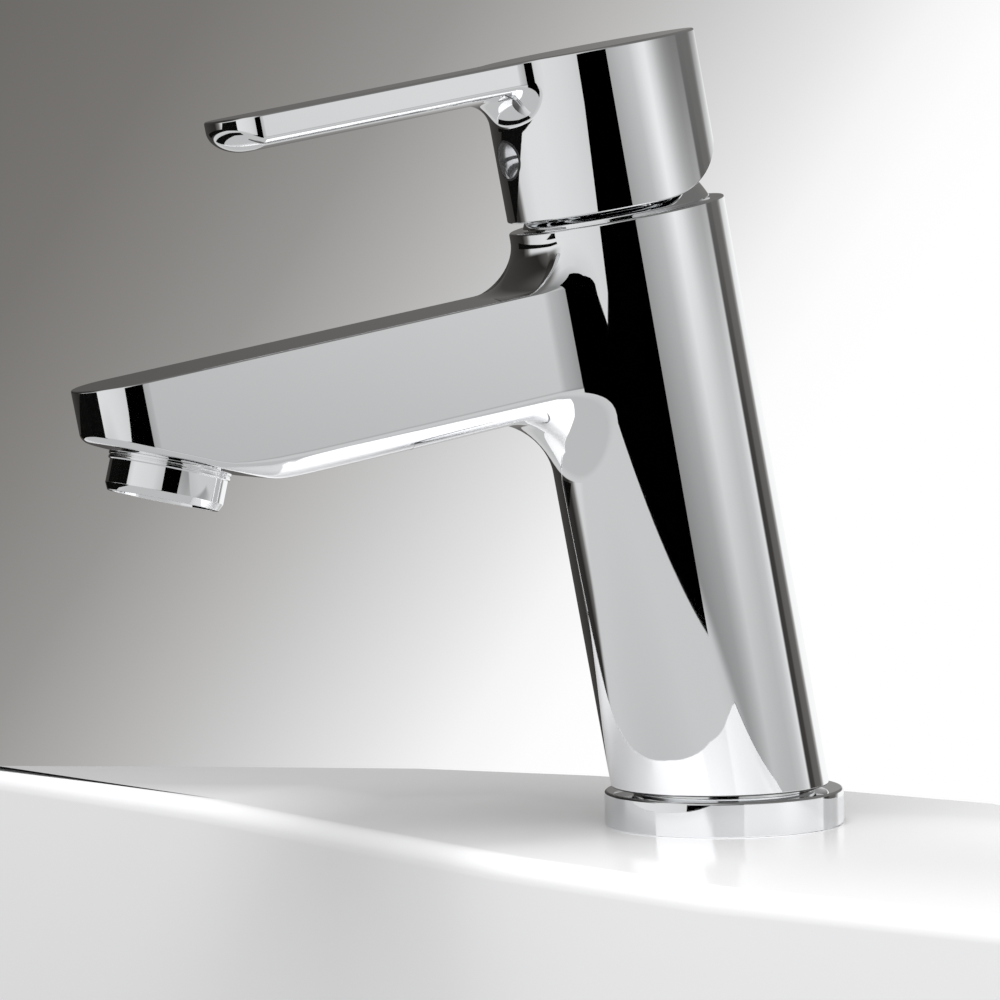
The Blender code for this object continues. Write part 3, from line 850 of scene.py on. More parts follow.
@dataclass
class Casting(Bar):
    """The cast body: leaning column, cut foot, open rim and flat-topped spout."""

    radius: float = 23.0
    rim: float = 132.7
    foot_height: float = 8.3
    edge: float = 0.45
    bore: float = 19.0
    shelf: float = 122.0
    well: float = 17.8
    floor: float = 108.8
    top: float = 121.1
    belly: float = 95.2
    half_width: float = 13.0
    top_edge: float = 0.35
    belly_corner: float = 5.2
    seat_corner: float = 1.5
    tip: float = 125.3
    tip_depth: float = 11.0
    seat_forward: float = 108.3
    seat_up: float = 103.4
    seat_slope: float = 23.95
    seat_blend: float = 1.2
    straight_to: float = 60.0
    root: RootFillet = field(default_factory=lambda: RootFillet(23.0, 17.0, 10.0, 15.5))

    def section(self, q: float) -> Contact:
        """The spout's cross-section near its root, from the top's middle to the belly's.

        Args:
            q: 0 to 1 along the top, to 2 round its edge, to 3 down the side, to 4 round the
                lower corner, and to 5 along the belly.

        Returns:
            The point there and its normal.
        """
        w, e, c = self.half_width, self.top_edge, self.belly_corner
        part, f = min(int(q), 4), q - min(int(q), 4)
        if part == 0:
            return Contact(f * (w - e), self.top, 0.0, 1.0)
        if part == 1:
            a = math.pi / 2 * (1 - f)
            return Contact(
                w - e + e * math.cos(a), self.top - e + e * math.sin(a), math.cos(a), math.sin(a)
            )
        if part == 2:
            high, low = self.top - e, self.belly + c
            return Contact(w, high + (low - high) * f, 1.0, 0.0)
        if part == 3:
            a = -math.pi / 2 * f
            return Contact(
                w - c + c * math.cos(a), self.belly + c + c * math.sin(a), math.cos(a), math.sin(a)
            )
        return Contact((1 - f) * (w - c), self.belly, 0.0, -1.0)

    def underside(self, v: float) -> float:
        """Height of the underside: the belly, and ahead of it the slope of the outlet's seat."""
        seat = self.seat_up + (v - self.seat_forward) * math.tan(math.radians(self.seat_slope))
        return 0.5 * (self.belly + seat + math.hypot(self.belly - seat, self.seat_blend))

    def lower_corner(self, v: float) -> float:
        """Radius of the lower corner, large along the belly and small beside the seat."""
        return self.belly_corner + (self.seat_corner - self.belly_corner) * smoothstep(87, 103, v)

    def nose(self, q: float, p: float) -> Point:
        """A point of the spout ahead of its straight root, by cross-section and outline."""
        x, v, nx, nv = self.outline(p)
        e = self.top_edge
        c = self.lower_corner(v)
        part, f = min(int(q), 4), q - min(int(q), 4)
        if part == 0:
            return f * (x - e * nx), v - e * nv, self.top
        if part == 1:
            a = math.pi / 2 * (1 - f)
            inset = e * (1 - math.cos(a))
            return x - inset * nx, v - inset * nv, self.top - e * (1 - math.sin(a))
        if part == 2:
            high, low = self.top - e, self.underside(v) + c
            return x, v, high + (low - high) * f
        if part == 3:
            a = -math.pi / 2 * f
            inset = c * (1 - math.cos(a))
            height = self.underside(v - inset * nv) + c * (1 + math.sin(a))
            return x - inset * nx, v - inset * nv, height
        inner = v - c * nv
        return (1 - f) * (x - c * nx), inner, self.underside(inner)

    def foot(self, angle: float, r: float, lift: float) -> Point:
        """A point above the slanting cut at the column's foot."""
        v = r * math.cos(angle)
        lean = self.axis.up
        height = (self.foot_height - v * self.axis.forward.z) / lean.z
        return r * math.sin(angle), v, height + lift

    def build(self) -> list[bpy.types.Object]:
        """Builds the casting and its spigot.

        Returns:
            The pieces made.
        """
        skin = Skin(self.axis)
        runs = (16, 32, 12, 32, 20)
        around = chain(*[spread(i, i + 1, n) for i, n in enumerate(runs)])
        back = runs[0] + 22
        turn = runs[0] + runs[1] + runs[2] + 12
        last = len(around) - 1
        rim_angles = [math.pi * i / back for i in range(back + 1)]
        foot_angles = [math.pi * (1 - i / (last - turn)) for i in range(last - turn + 1)]
        rim_line = [(a, self.rim - self.edge) for a in rim_angles]
        foot_line = [(a, self.foot(a, self.radius, self.edge)[2]) for a in foot_angles]
        seam = spread(rim_line[-1][1], foot_line[0][1], turn - back)[1:-1]
        outer = rim_line + [(math.pi, u) for u in seam] + foot_line
        inner = [self.root.foot(self.section(q)) for q in around]
        barrel_patch(skin, self.radius, inner, outer, spread(0, 1, 30))
        skin.patch(self.rounding, around, spread(0, 1, 14))
        skin.patch(self.shank, around, spread(0, 1, 4))
        stations = (
            60, 72, 82, 85, 87, 88.5, 89.5, 90.5, 92, 94, 97, 100, 103, 107, 112, self.side_end,
        )
        reach = self.side_end - self.straight_to
        straight = [(v - self.straight_to) / reach for v in stations]
        skin.patch(self.nose, around, chain(straight, spread(1, 2, 26)))
        lip = rounded([
            (self.radius, self.rim - self.edge, 0), (self.radius, self.rim, self.edge),
            (self.bore, self.rim, 0.3), (self.bore, self.shelf, 0.2), (self.well, self.shelf, 0.2),
            (self.well, self.floor, 0.2), (0, self.floor, 0),
        ])
        skin.turned(lip, rim_angles)
        e = self.edge
        foot_rows = [
            (self.radius - e * (1 - math.cos(a)), e * (1 - math.sin(a)))
            for a in spread(0, math.pi / 2, 5)
        ] + [(self.radius - 2.5, 0.0), (12.0, 0.0), (0.0, 0.0)]
        skin.grid(np.array([[self.foot(a, r, h) for a in foot_angles] for r, h in foot_rows]))
        body = skin.build("body_casting", CHROME)
        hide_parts("faucet_body")
        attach(body, "root")
        return [body, self.spigot()]

    def spigot(self) -> bpy.types.Object:
        """Builds the plain foot inside the base ring, with its hose sockets and stud hole."""
        low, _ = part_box("faucet_body")
        foot = low.z / MM
        profile = rounded([(0, 13.8, 0), (19.4, 8.5, 0.2), (19.5, foot, 0.4), (0, foot, 0)])
        piece = turned_piece("body_spigot", Axis.upright(), profile, SATIN_CHROME, 48)
        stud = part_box("fixing_stud")
        stud_y = (stud[0].y + stud[1].y) / 2 / MM
        for name, x, y, r in (
            ("hot_socket", -8.5, 6.0, 5.1),
            ("cold_socket", 8.5, 6.0, 5.1),
            ("stud_hole", 0, stud_y, 4.2),
        ):
            mouth = [(0, 7.0), (r, 7.0), (r, 0.4), (r + 0.9, -0.5), (0, -0.5)]
            hole = turned_piece(name, Axis.upright(x * MM, y * MM), mouth, SATIN_CHROME, 24)
            carve(piece, hole)
        tidy_shading(piece)
        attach(piece, "root")
        return piece


def carve(target: bpy.types.Object, tool: bpy.types.Object, operation: str = "DIFFERENCE") -> None:
    """Cuts a tool out of a piece, or keeps what they share, and removes the tool.

    Args:
        target: the piece.
        tool: the closed shape.
        operation: the Boolean modifier's operation.
    """
    modifier = target.modifiers.new("carve", "BOOLEAN")
    modifier.operation = operation
    modifier.solver = "EXACT"
    modifier.object = tool
    graph = bpy.context.evaluated_depsgraph_get()
    mesh = bpy.data.meshes.new_from_object(target.evaluated_get(graph))
    target.modifiers.remove(modifier)
    target.data = mesh
    bpy.data.objects.remove(tool, do_unlink=True)


def tidy_shading(obj: bpy.types.Object, angle: float = 35.0) -> None:
    """Shades a carved piece smooth, with its hard edges kept.

    Args:
        obj: the piece.
        angle: the sharpest turn in degrees that is still shaded smooth.
    """
    bm = bmesh.new()
    bm.from_mesh(obj.data)
    bmesh.ops.remove_doubles(bm, verts=bm.verts, dist=MERGE_M)
    bmesh.ops.dissolve_degenerate(bm, edges=bm.edges, dist=MERGE_M)
    bm.to_mesh(obj.data)
    bm.free()
    if obj.data.has_custom_normals:
        with bpy.context.temp_override(object=obj, active_object=obj):
            bpy.ops.mesh.customdata_custom_splitnormals_clear()
    obj.data.shade_smooth()
    obj.data.set_sharp_from_angle(angle=math.radians(angle))


@dataclass
class Handle(Bar):
    """The cap and its blade lever, one casting with a flush flat top."""

    radius: float = 22.85
    top: float = 168.1
    bottom: float = 134.9
    rear_round: float = 25.3
    edge: float = 0.5
    half_width: float = 12.0
    side_low: float = 163.5
    lip: float = 1.6
    lip_turn: float = 78.0
    belly: float = 160.8
    tip: float = 86.0
    tip_depth: float = 6.5
    nose_low: float = 166.5
    straight_to: float = 60.0
    base_edge: float = 0.35
    bore: float = 20.4
    ceiling: float = 158.0
    boss: float = 8.5
    boss_low: float = 145.5
    root: RootFillet = field(default_factory=lambda: RootFillet(22.85, 6.0, 6.0, 6.5))

    def section(self, q: float) -> Contact:
        """The lever's cross-section below its top edge, down the side and under to the middle.

        Args:
            q: 0 to 1 down the side, to 2 round the lip, and to 3 along the belly.

        Returns:
            The point there and its normal.
        """
        part, f = min(int(q), 2), q - min(int(q), 2)
        turn = math.radians(self.lip_turn)
        if part == 0:
            high = self.top - self.edge
            return Contact(self.half_width, high + (self.side_low - high) * f, 1.0, 0.0)
        if part == 1:
            a = turn * f
            return Contact(
                self.half_width - self.lip * (1 - math.cos(a)),
                self.side_low - self.lip * math.sin(a), math.cos(a), -math.sin(a),
            )
        wide = self.half_width - self.lip * (1 - math.cos(turn))
        high = self.side_low - self.lip * math.sin(turn)
        a = turn + (math.pi / 2 - turn) * f
        big = wide / math.cos(turn)
        drop = (high - self.belly) / (1 - math.sin(turn))
        return Contact(
            big * math.cos(a), high - drop * (math.sin(a) - math.sin(turn)),
            math.cos(a), -math.sin(a),
        )

    def nose(self, q: float, p: float) -> Point:
        """A point of the lever's sides and underside ahead of its straight root."""
        x, v, _, nv = self.outline(p)
        at = self.section(q)
        middle = min(v, self.side_end)
        front = nv * nv
        inset = 1 - at.x / self.half_width
        rise = self.nose_low - self.belly
        t = 1 - min(1.0, inset)
        rounded_up = self.belly + rise * (1 - math.sqrt(max(0.0, 1 - t * t)))
        if q <= 1:
            high = self.top - self.edge
            low = self.side_low + (self.nose_low - self.side_low) * front
            return x, v, high + (low - high) * q
        height = at.u + (rounded_up - at.u) * front
        return x * (1 - inset), v + (middle - v) * inset, height

    def base(self, r: float, angle: float) -> float:
        """Height of the cap's lower edge, which rises in an arc at the back."""
        v = r * math.cos(angle)
        if v >= 0:
            return self.bottom
        return self.bottom + self.rear_round - math.sqrt(self.rear_round ** 2 - v * v)

    def build(self) -> list[bpy.types.Object]:
        """Builds the handle as one closed piece.

        Returns:
            The handle alone.
        """
        skin = Skin(self.axis)
        around = chain(spread(0, 1, 10), spread(1, 2, 24), spread(2, 3, 24))
        back, last = 14, 58
        base_angles = [math.pi * (1 - i / (last - back)) for i in range(last - back + 1)]
        lift = self.base_edge
        high = self.top - self.edge
        seam = spread(high, self.base(self.radius, math.pi) + lift, back)[:-1]
        outer = [(math.pi, u) for u in seam]
        outer += [(a, self.base(self.radius, a) + lift) for a in base_angles]
        inner = [self.root.foot(self.section(q)) for q in around]
        shares = spread(0, 1, 40)
        barrel_patch(skin, self.radius, inner, outer, shares)
        skin.patch(self.rounding, around, spread(0, 1, 12))
        skin.patch(self.shank, around, spread(0, 1, 4))
        along = chain(spread(0, 1, 4), spread(1, 2, 26))
        skin.patch(self.nose, around, along)
        self.close_top(skin, inner[0][0], shares, along)
        rows = [
            (self.radius - lift * (1 - math.cos(a)), lift * (1 - math.sin(a)), None)
            for a in spread(0, math.pi / 2, 4)
        ]
        rows += [(22.1, 0.0, None), (21.9, 0.1, None), (21.8, 0.4, None)]
        rows += [(self.bore, 0.0, self.ceiling - 3.0), (self.bore, 0.0, self.ceiling)]
        rows += [(self.boss, 0.0, self.ceiling), (self.boss, 0.0, self.boss_low)]
        rows += [(0.0, 0.0, self.boss_low)]
        skin.grid(np.array([
            [
                (r * math.sin(a), r * math.cos(a), self.base(r, a) + h if level is None else level)
                for a in base_angles
            ]
            for r, h, level in rows
        ]))
        handle = skin.build("handle_casting", CHROME)
        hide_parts("handle")
        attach(handle, "lever")
        return [handle]

    def close_top(
        self, skin: Skin, start: float, shares: Sequence[float], along: Sequence[float]
    ) -> None:
        """Rounds the top's edge all the way and closes it with one flat face.

        Args:
            skin: the handle's surface.
            start: the angle at which the lever's rounding meets the cap.
            shares: steps round the cap.
            along: steps along the lever.
        """
        line: list[Outline] = [self.outline(p) for p in reversed(along)]
        at = self.section(0.0)
        begin = self.root.start(at)
        for s in reversed(spread(0, 1, 4)[:-1]):
            v = begin + (self.straight_to - begin) * s
            line.append((self.half_width, v, 1.0, 0.0))
        cx, cv, _, r = self.root.ball(at)
        for s in spread(0, 1, 12)[1:]:
            x, v, _ = self.root.place(at, s)
            line.append((x, v, (cx - x) / r, (cv - v) / r))
        for s in shares[1:]:
            a = start + (math.pi - start) * s
            line.append((
                self.radius * math.sin(a), self.radius * math.cos(a), math.sin(a), math.cos(a)
            ))
        points, normals = [], []
        for a in spread(0, math.pi / 2, 5):
            inset, rise = self.edge * (1 - math.cos(a)), self.edge * math.sin(a)
            points.append([
                (x - inset * nx, v - inset * nv, self.top - self.edge + rise)
                for x, v, nx, nv in line
            ])
            normals.append([
                (nx * math.cos(a), nv * math.cos(a), math.sin(a)) for _, _, nx, nv in line
            ])
        skin.grid(np.array(points), np.array(normals))
        right = [skin.corner(np.array(p), np.array((0, 0, 1.0))) for p in points[-1]]
        left = [
            skin.corner(np.array(p) * np.array((-1, 1, 1)), np.array((0, 0, 1.0)))
            for p in points[-1]
        ]
        skin.face(right + left[::-1])


@dataclass
class IndicatorButton:
    """The oval plug over the handle screw: a silvered backing, a clear lens and a thin dark ring of
    painted shade round it.
    """

    axis: Axis
    barrel: float = 22.85
    height: float = 148.3
    half_width: float = 4.95
    half_height: float = 4.0
    # rim is the section radius of the dark ring round the plug, which is painted shade of the gap
    # between plug and cap
    rim: float = 0.28

    def disc(
        self, name: str, finish: Finish, scale: float, proud: float, crown: float, deep: float
    ) -> bpy.types.Object:
        """Builds one oval disc that follows the barrel.

        Args:
            name: the object's name.
            finish: what it is made of.
            scale: its size against the plug's.
            proud: how far its edge stands out of the barrel.
            crown: how much further its middle stands out.
            deep: how far it reaches into the barrel.

        Returns:
            The disc.
        """
        skin = Skin(self.axis)

        def face(ring: float, turn: float) -> Point:
            """A point of the disc's front."""
            x = self.half_width * scale * ring * math.sin(turn)
            rise = self.half_height * scale * ring * math.cos(turn)
            out = math.sqrt(self.barrel ** 2 - x * x) + proud + crown * (1 - ring * ring)
            return x, out, self.height + rise

        turns = spread(0, math.pi, 32)
        front = skin.patch(face, spread(0.0, 1.0, 8), turns)
        rows = [front[-1], [(x, v - proud - crown - deep, u) for x, v, u in front[-1]]]
        rows.append([(0.0, self.barrel - deep, self.height)] * len(turns))
        skin.grid(np.array(rows))
        obj = skin.build(name, finish)
        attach(obj, "lever")
        return obj

    def gap_shade_ring(self) -> bpy.types.Object:
        """Builds the thin dark ring round the lens: painted shade in place of the shadowed gap
        between the plug and the cap.
        """
        skin = Skin(self.axis)

        def loop(around: float, turn: float) -> Point:
            """A point of the dark ring of painted shade, round its section and round the oval."""
            x0 = (self.half_width + self.rim * math.cos(around)) * math.sin(turn)
            u0 = (self.half_height + self.rim * math.cos(around)) * math.cos(turn)
            out = math.sqrt(self.barrel ** 2 - x0 * x0) + self.rim * 0.7 * math.sin(around)
            return x0, out, self.height + u0

        skin.patch(loop, spread(0, 2 * math.pi, 12), spread(0, math.pi, 40))
        # the ring's black finish is painted shade of the gap round the plug; the cap has no real
        # hole or seal there
        obj = skin.build("indicator_gap_shade_ring", RUBBER_AND_GAP_SHADE)
        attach(obj, "lever")
        return obj

    def build(self) -> list[bpy.types.Object]:
        """Builds the plug's pieces."""
        backing = self.disc("indicator_backing", SILVERED, 1.0, 0.02, 0.80, 1.4)
        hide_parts("indicator_button")
        lens = self.disc("indicator_lens", CLEAR, 0.97, 0.10, 0.82, 0.0)
        return [backing, lens, self.gap_shade_ring()]


@dataclass
class Aerator:
    """The screwed-in outlet: a collar, a shell with key notches and a honeycomb face."""

    axis: Axis
    collar: float = 12.5
    shell: float = 12.05
    low: float = -8.2
    notches: tuple[float, float] = (10.0, 100.0)
    notch_reach: float = 13.3
    face: float = -7.0

    def build(self) -> list[bpy.types.Object]:
        """Builds the shell and its insert."""
        profile = rounded([
            (8.9, 5.4, 0), (10.2, 5.4, 0.2), (10.2, -0.3, 0.05), (self.collar, -0.3, 0.12),
            (self.collar, -0.85, 0.12), (12.28, -1.0, 0.05), (12.28, -1.15, 0.05),
            (12.42, -1.3, 0.08), (12.42, -1.75, 0.12), (self.shell, -1.95, 0.06),
            (self.shell, -6.75, 0.25), (11.35, self.low, 0.2), (10.35, self.low, 0.2),
            (10.15, -7.2, 0.1), (9.5, -7.2, 0.1), (9.5, 4.6, 0.1), (8.9, 4.6, 0.1),
        ], 4)
        shell = turned_piece("aerator_shell", self.axis, profile, CHROME, 90)
        for turn in self.notches:
            a = math.radians(180.0 + turn)
            reach = self.notch_reach
            centre = self.axis.point(reach * math.sin(a), reach * math.cos(a), 0)
            key = turned_piece(
                "key_notch", Axis(centre, self.axis.up),
                [(0, -4.7), (2.6, -4.7), (2.6, -9.0), (0, -9.0)], CHROME, 20,
            )
            carve(shell, key)
        tidy_shading(shell, 28.0)
        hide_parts("aerator_housing")
        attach(shell, "root")
        disc = turned_piece("aerator_plate", self.axis, rounded([
            (0, 1.5, 0), (9.3, 1.5, 0.3), (9.3, -6.9, 0.2), (0, -6.9, 0),
        ], 3), INSERT, 48)
        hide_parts("aerator_insert")
        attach(disc, "root")
        base = self.axis.point(0, 0, self.face)
        turn = Vector((0, 0, 1)).rotation_difference(self.axis.up).to_matrix().to_4x4()
        cells = honeycomb_recipe(INSERT).grow(
            "aerator_honeycomb", Matrix.Translation(base) @ turn, INSERT
        )
        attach(cells, "root")
        return [shell, disc, cells]


@dataclass
class DeckFixings:
    """The ring on the deck and the stud, nut and clamp plates below it."""

    ring_radius: float = 25.6
    ring_height: float = 7.4
    spigot: float = 19.8
    groove: tuple[float, float] = (21.5, 24.0)
    groove_depth: float = 1.6

    def ring(self) -> bpy.types.Object:
        """Builds the base ring with its gasket groove."""
        (inner, outer), deep = self.groove, self.groove_depth
        piece = turned_piece("deck_ring", Axis.upright(), rounded([
            (self.spigot, self.ring_height, 0), (self.ring_radius, self.ring_height, 0.55),
            (self.ring_radius, 0, 0.18), (outer, 0, 0.1), (outer, deep, 0.1), (inner, deep, 0.1),
            (inner, 0, 0.1), (self.spigot, 0, 0.2),
        ], 5), CHROME, 90)
        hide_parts("base_ring")
        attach(piece, "root")
        return piece

    def stud(self) -> list[bpy.types.Object]:
        """Builds the stud's core and the thread wound on it."""
        centre, length = Axis.through("fixing_stud")
        core = turned_piece("stud_core", centre, rounded([
            (0, length, 0), (3.0, length, 0.2), (3.5, length - 0.6, 0.1), (3.5, 0.6, 0.1),
            (3.0, 0, 0.2), (0, 0, 0),
        ], 3), STEEL, 20)
        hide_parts("fixing_stud")
        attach(core, "root")
        thread = thread_recipe(STEEL).grow(
            "stud_thread", Matrix.Translation(centre.point(0, 0, 1.2)), STEEL,
            Radius=0.00340, Length=(length - 2.4) * MM, Ridge=0.00045,
        )
        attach(thread, "root")
        return [core, thread]

    def nut(self) -> bpy.types.Object:
        """Builds the hexagon nut with turned chamfers."""
        centre, tall = Axis.through("fixing_nut")
        block = [(0, tall), (7.5, tall), (7.5, 0), (0, 0)]
        nut = turned_piece("clamp_nut", centre, block, BRASS, 3)
        shape = turned_piece("nut_chamfer", centre, rounded([
            (0, tall, 0), (6.6, tall, 0.1), (7.5, tall - 0.9, 0.1), (7.5, 0.9, 0.1),
            (6.6, 0, 0.1), (0, 0, 0),
        ], 2), BRASS, 36)
        carve(nut, shape, "INTERSECT")
        hole = turned_piece("nut_hole", centre, [
            (0, tall + 1), (5.7, tall + 1), (4.3, tall - 0.4), (4.3, 0.4), (5.7, -1), (0, -1),
        ], BRASS, 24)
        carve(nut, hole)
        tidy_shading(nut, 25.0)
        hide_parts("fixing_nut")
        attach(nut, "root")
        return nut

    def build(self) -> list[bpy.types.Object]:
        """Builds everything at and below the deck."""
        pieces = [self.ring(), *self.stud(), self.nut()]
        pieces.append(softened("rubber_clamp_washer", "rubber_washer", RUBBER_AND_GAP_SHADE, 0.5))
        pieces.append(softened("steel_clamp_plate", "steel_horseshoe", STEEL, 0.25))
        pieces.append(softened("base_gasket", "deck_gasket", RUBBER_AND_GAP_SHADE, 0.2))
        return pieces


def softened(node: str, name: str, finish: Finish, edge: float) -> bpy.types.Object:
    """Copies a CAD node with its edges rounded.

    Args:
        node: the CAD node.
        name: the new object's name.
        finish: what it is made of.
        edge: the rounding in millimetres.

    Returns:
        The new piece, riding where the node does.
    """
    source = frame["nodes"][node]
    bm = bmesh.new()
    bm.from_mesh(source.data)
    bmesh.ops.remove_doubles(bm, verts=bm.verts, dist=1e-6)
    bmesh.ops.dissolve_limit(bm, angle_limit=math.radians(2), verts=bm.verts, edges=bm.edges)
    corners = [e for e in bm.edges if len(e.link_faces) == 2 and e.calc_face_angle() > 0.6]
    bmesh.ops.bevel(
        bm, geom=corners, offset=edge * MM, segments=3, profile=0.5, affect="EDGES",
        clamp_overlap=True,
    )
    bmesh.ops.recalc_face_normals(bm, faces=bm.faces)
    mesh = bpy.data.meshes.new(name)
    bm.to_mesh(mesh)
    bm.free()
    mesh.shade_smooth()
    mesh.set_sharp_from_angle(angle=math.radians(50))
    obj = bpy.data.objects.new(name, mesh)
    bpy.context.scene.collection.objects.link(obj)
    finish.dress(obj)
    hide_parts(node)
    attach(obj, source["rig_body"])
    return obj


@dataclass
class Cartridge:
    """The ceramic cartridge under the handle, most of it the CAD's own solids."""

    axis: Axis
    pivot: float = 124.5
    dome: float = 21.7
    wall: float = 1.3
    opening: float = 12.6
    rim: float = 133.0
    skirt: float = 18.7
    skirt_bore: float = 17.4
    skirt_low: float = 128.6

    def collar(self) -> bpy.types.Object:
        """Builds the domed collar between the rim and the cap."""

        def ball(radius: float, start: float, end: float, steps: int) -> list[tuple[float, float]]:
            """Points of a circle about the pivot, by radius from the axis at each end."""
            first, last = math.acos(start / radius), math.acos(end / radius)
            return [
                (radius * math.cos(a), self.pivot + radius * math.sin(a))
                for a in spread(first, last, steps)
            ]

        base = math.sqrt(self.dome ** 2 - (self.rim - self.pivot) ** 2)
        profile = ball(self.dome, self.opening, base, 24)
        profile += [(self.skirt, self.rim), (self.skirt, self.skirt_low)]
        profile += [(self.skirt_bore, self.skirt_low)]
        profile += ball(self.dome - self.wall, self.skirt_bore, self.opening, 10)
        collar = turned_piece("domed_collar", self.axis, profile, CHROME, 64)
        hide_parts("dome_collar")
        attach(collar, "root")
        return collar

    def build(self) -> list[bpy.types.Object]:
        """Builds the collar and dresses the CAD solids of the cartridge."""
        dressed = {
            "cartridge_housing": WHITE, "cartridge_base": GREY, "hot_port_seal": RUBBER_AND_GAP_SHADE,
            "cold_port_seal": RUBBER_AND_GAP_SHADE, "mixed_port_seal": RUBBER_AND_GAP_SHADE, "fixed_ceramic_disc": ALUMINA,
            "moving_ceramic_disc": ALUMINA, "disc_carrier": GREY, "spindle_guide": WHITE,
            "pivot_pin": STEEL, "lever_spindle": BRASS, "retaining_nut": BRASS,
            "handle_screw": STEEL, "aerator_screen": STEEL, "aerator_washer": RUBBER_AND_GAP_SHADE,
        }
        for node, finish in dressed.items():
            finish.dress(frame["nodes"][node])
            log.info("%s: CAD solid in %s", node, finish.name)
        return [self.collar()]


# ---- studio --------------------------------------------------------------------------
def linear(shade: float, warmth: float = 0.0) -> tuple[float, float, float, float]:
    """A display shade from 0 to 255 as a linear colour.

    Args:
        shade: the display shade.
        warmth: how far red is raised and blue lowered, as a share.

    Returns:
        Red, green, blue and alpha.
    """
    value = (shade / 255.0) ** 2.2
    return (value * (1 + warmth), value, value * (1 - warmth), 1.0)


class SkyTree:
    """A small builder for the world's node tree."""

    def __init__(self, tree: bpy.types.NodeTree) -> None:
        """Starts on an existing tree."""
        self.tree = tree

    def node(self, kind: str, *inputs: object, **settings: object) -> bpy.types.Node:
        """Adds a node with its inputs in order, as values or as sockets."""
        made = self.tree.nodes.new(kind)
        for key, value in settings.items():
            setattr(made, key, value)
        for socket, value in zip(made.inputs, inputs):
            if isinstance(value, bpy.types.NodeSocket):
                self.tree.links.new(value, socket)
            elif value is not None:
                socket.default_value = value
        return made

    def maths(self, operation: str, *terms: object) -> bpy.types.NodeSocket:
        """The output of a Math node."""
        return self.node("ShaderNodeMath", *terms, operation=operation).outputs[0]

    def along(self, value: object, direction: Sequence[float]) -> bpy.types.NodeSocket:
        """How far a vector reaches along a direction."""
        dot = self.node("ShaderNodeVectorMath", value, direction, operation="DOT_PRODUCT")
        return dot.outputs["Value"]

    def rise(self, value: object, start: object, end: object) -> bpy.types.NodeSocket:
        """0 before start, 1 after end and a soft rise between."""
        soft = self.node(
            "ShaderNodeMapRange", value, start, end, 0.0, 1.0, interpolation_type="SMOOTHSTEP"
        )
        return soft.outputs[0]

    def span(
        self, value: object, start: float, end: float, first: float, last: float
    ) -> bpy.types.NodeSocket:
        """A straight change from first at start to last at end, level beyond them."""
        return self.node("ShaderNodeMapRange", value, start, end, first, last).outputs[0]

    def ramp(
        self, value: object, low: float, high: float, stops: Stops
    ) -> bpy.types.NodeSocket:
        """A colour ramp from low to high through stops of place, shade and warmth."""
        share = self.node("ShaderNodeMapRange", value, low, high, 0.0, 1.0)
        made = self.node("ShaderNodeValToRGB", share.outputs[0])
        elements = made.color_ramp.elements
        elements.remove(elements[1])
        for i, (place, shade, warmth) in enumerate(stops):
            position = (place - low) / (high - low)
            element = elements[0] if i == 0 else elements.new(position)
            element.position = position
            element.color = linear(shade, warmth)
        return made.outputs[0]

    def blend(self, amount: object, first: object, second: object) -> bpy.types.NodeSocket:
        """A mix of two colours."""
        unused = (None,) * 5
        made = self.node("ShaderNodeMix", amount, *unused, first, second, data_type="RGBA")
        return made.outputs[2]


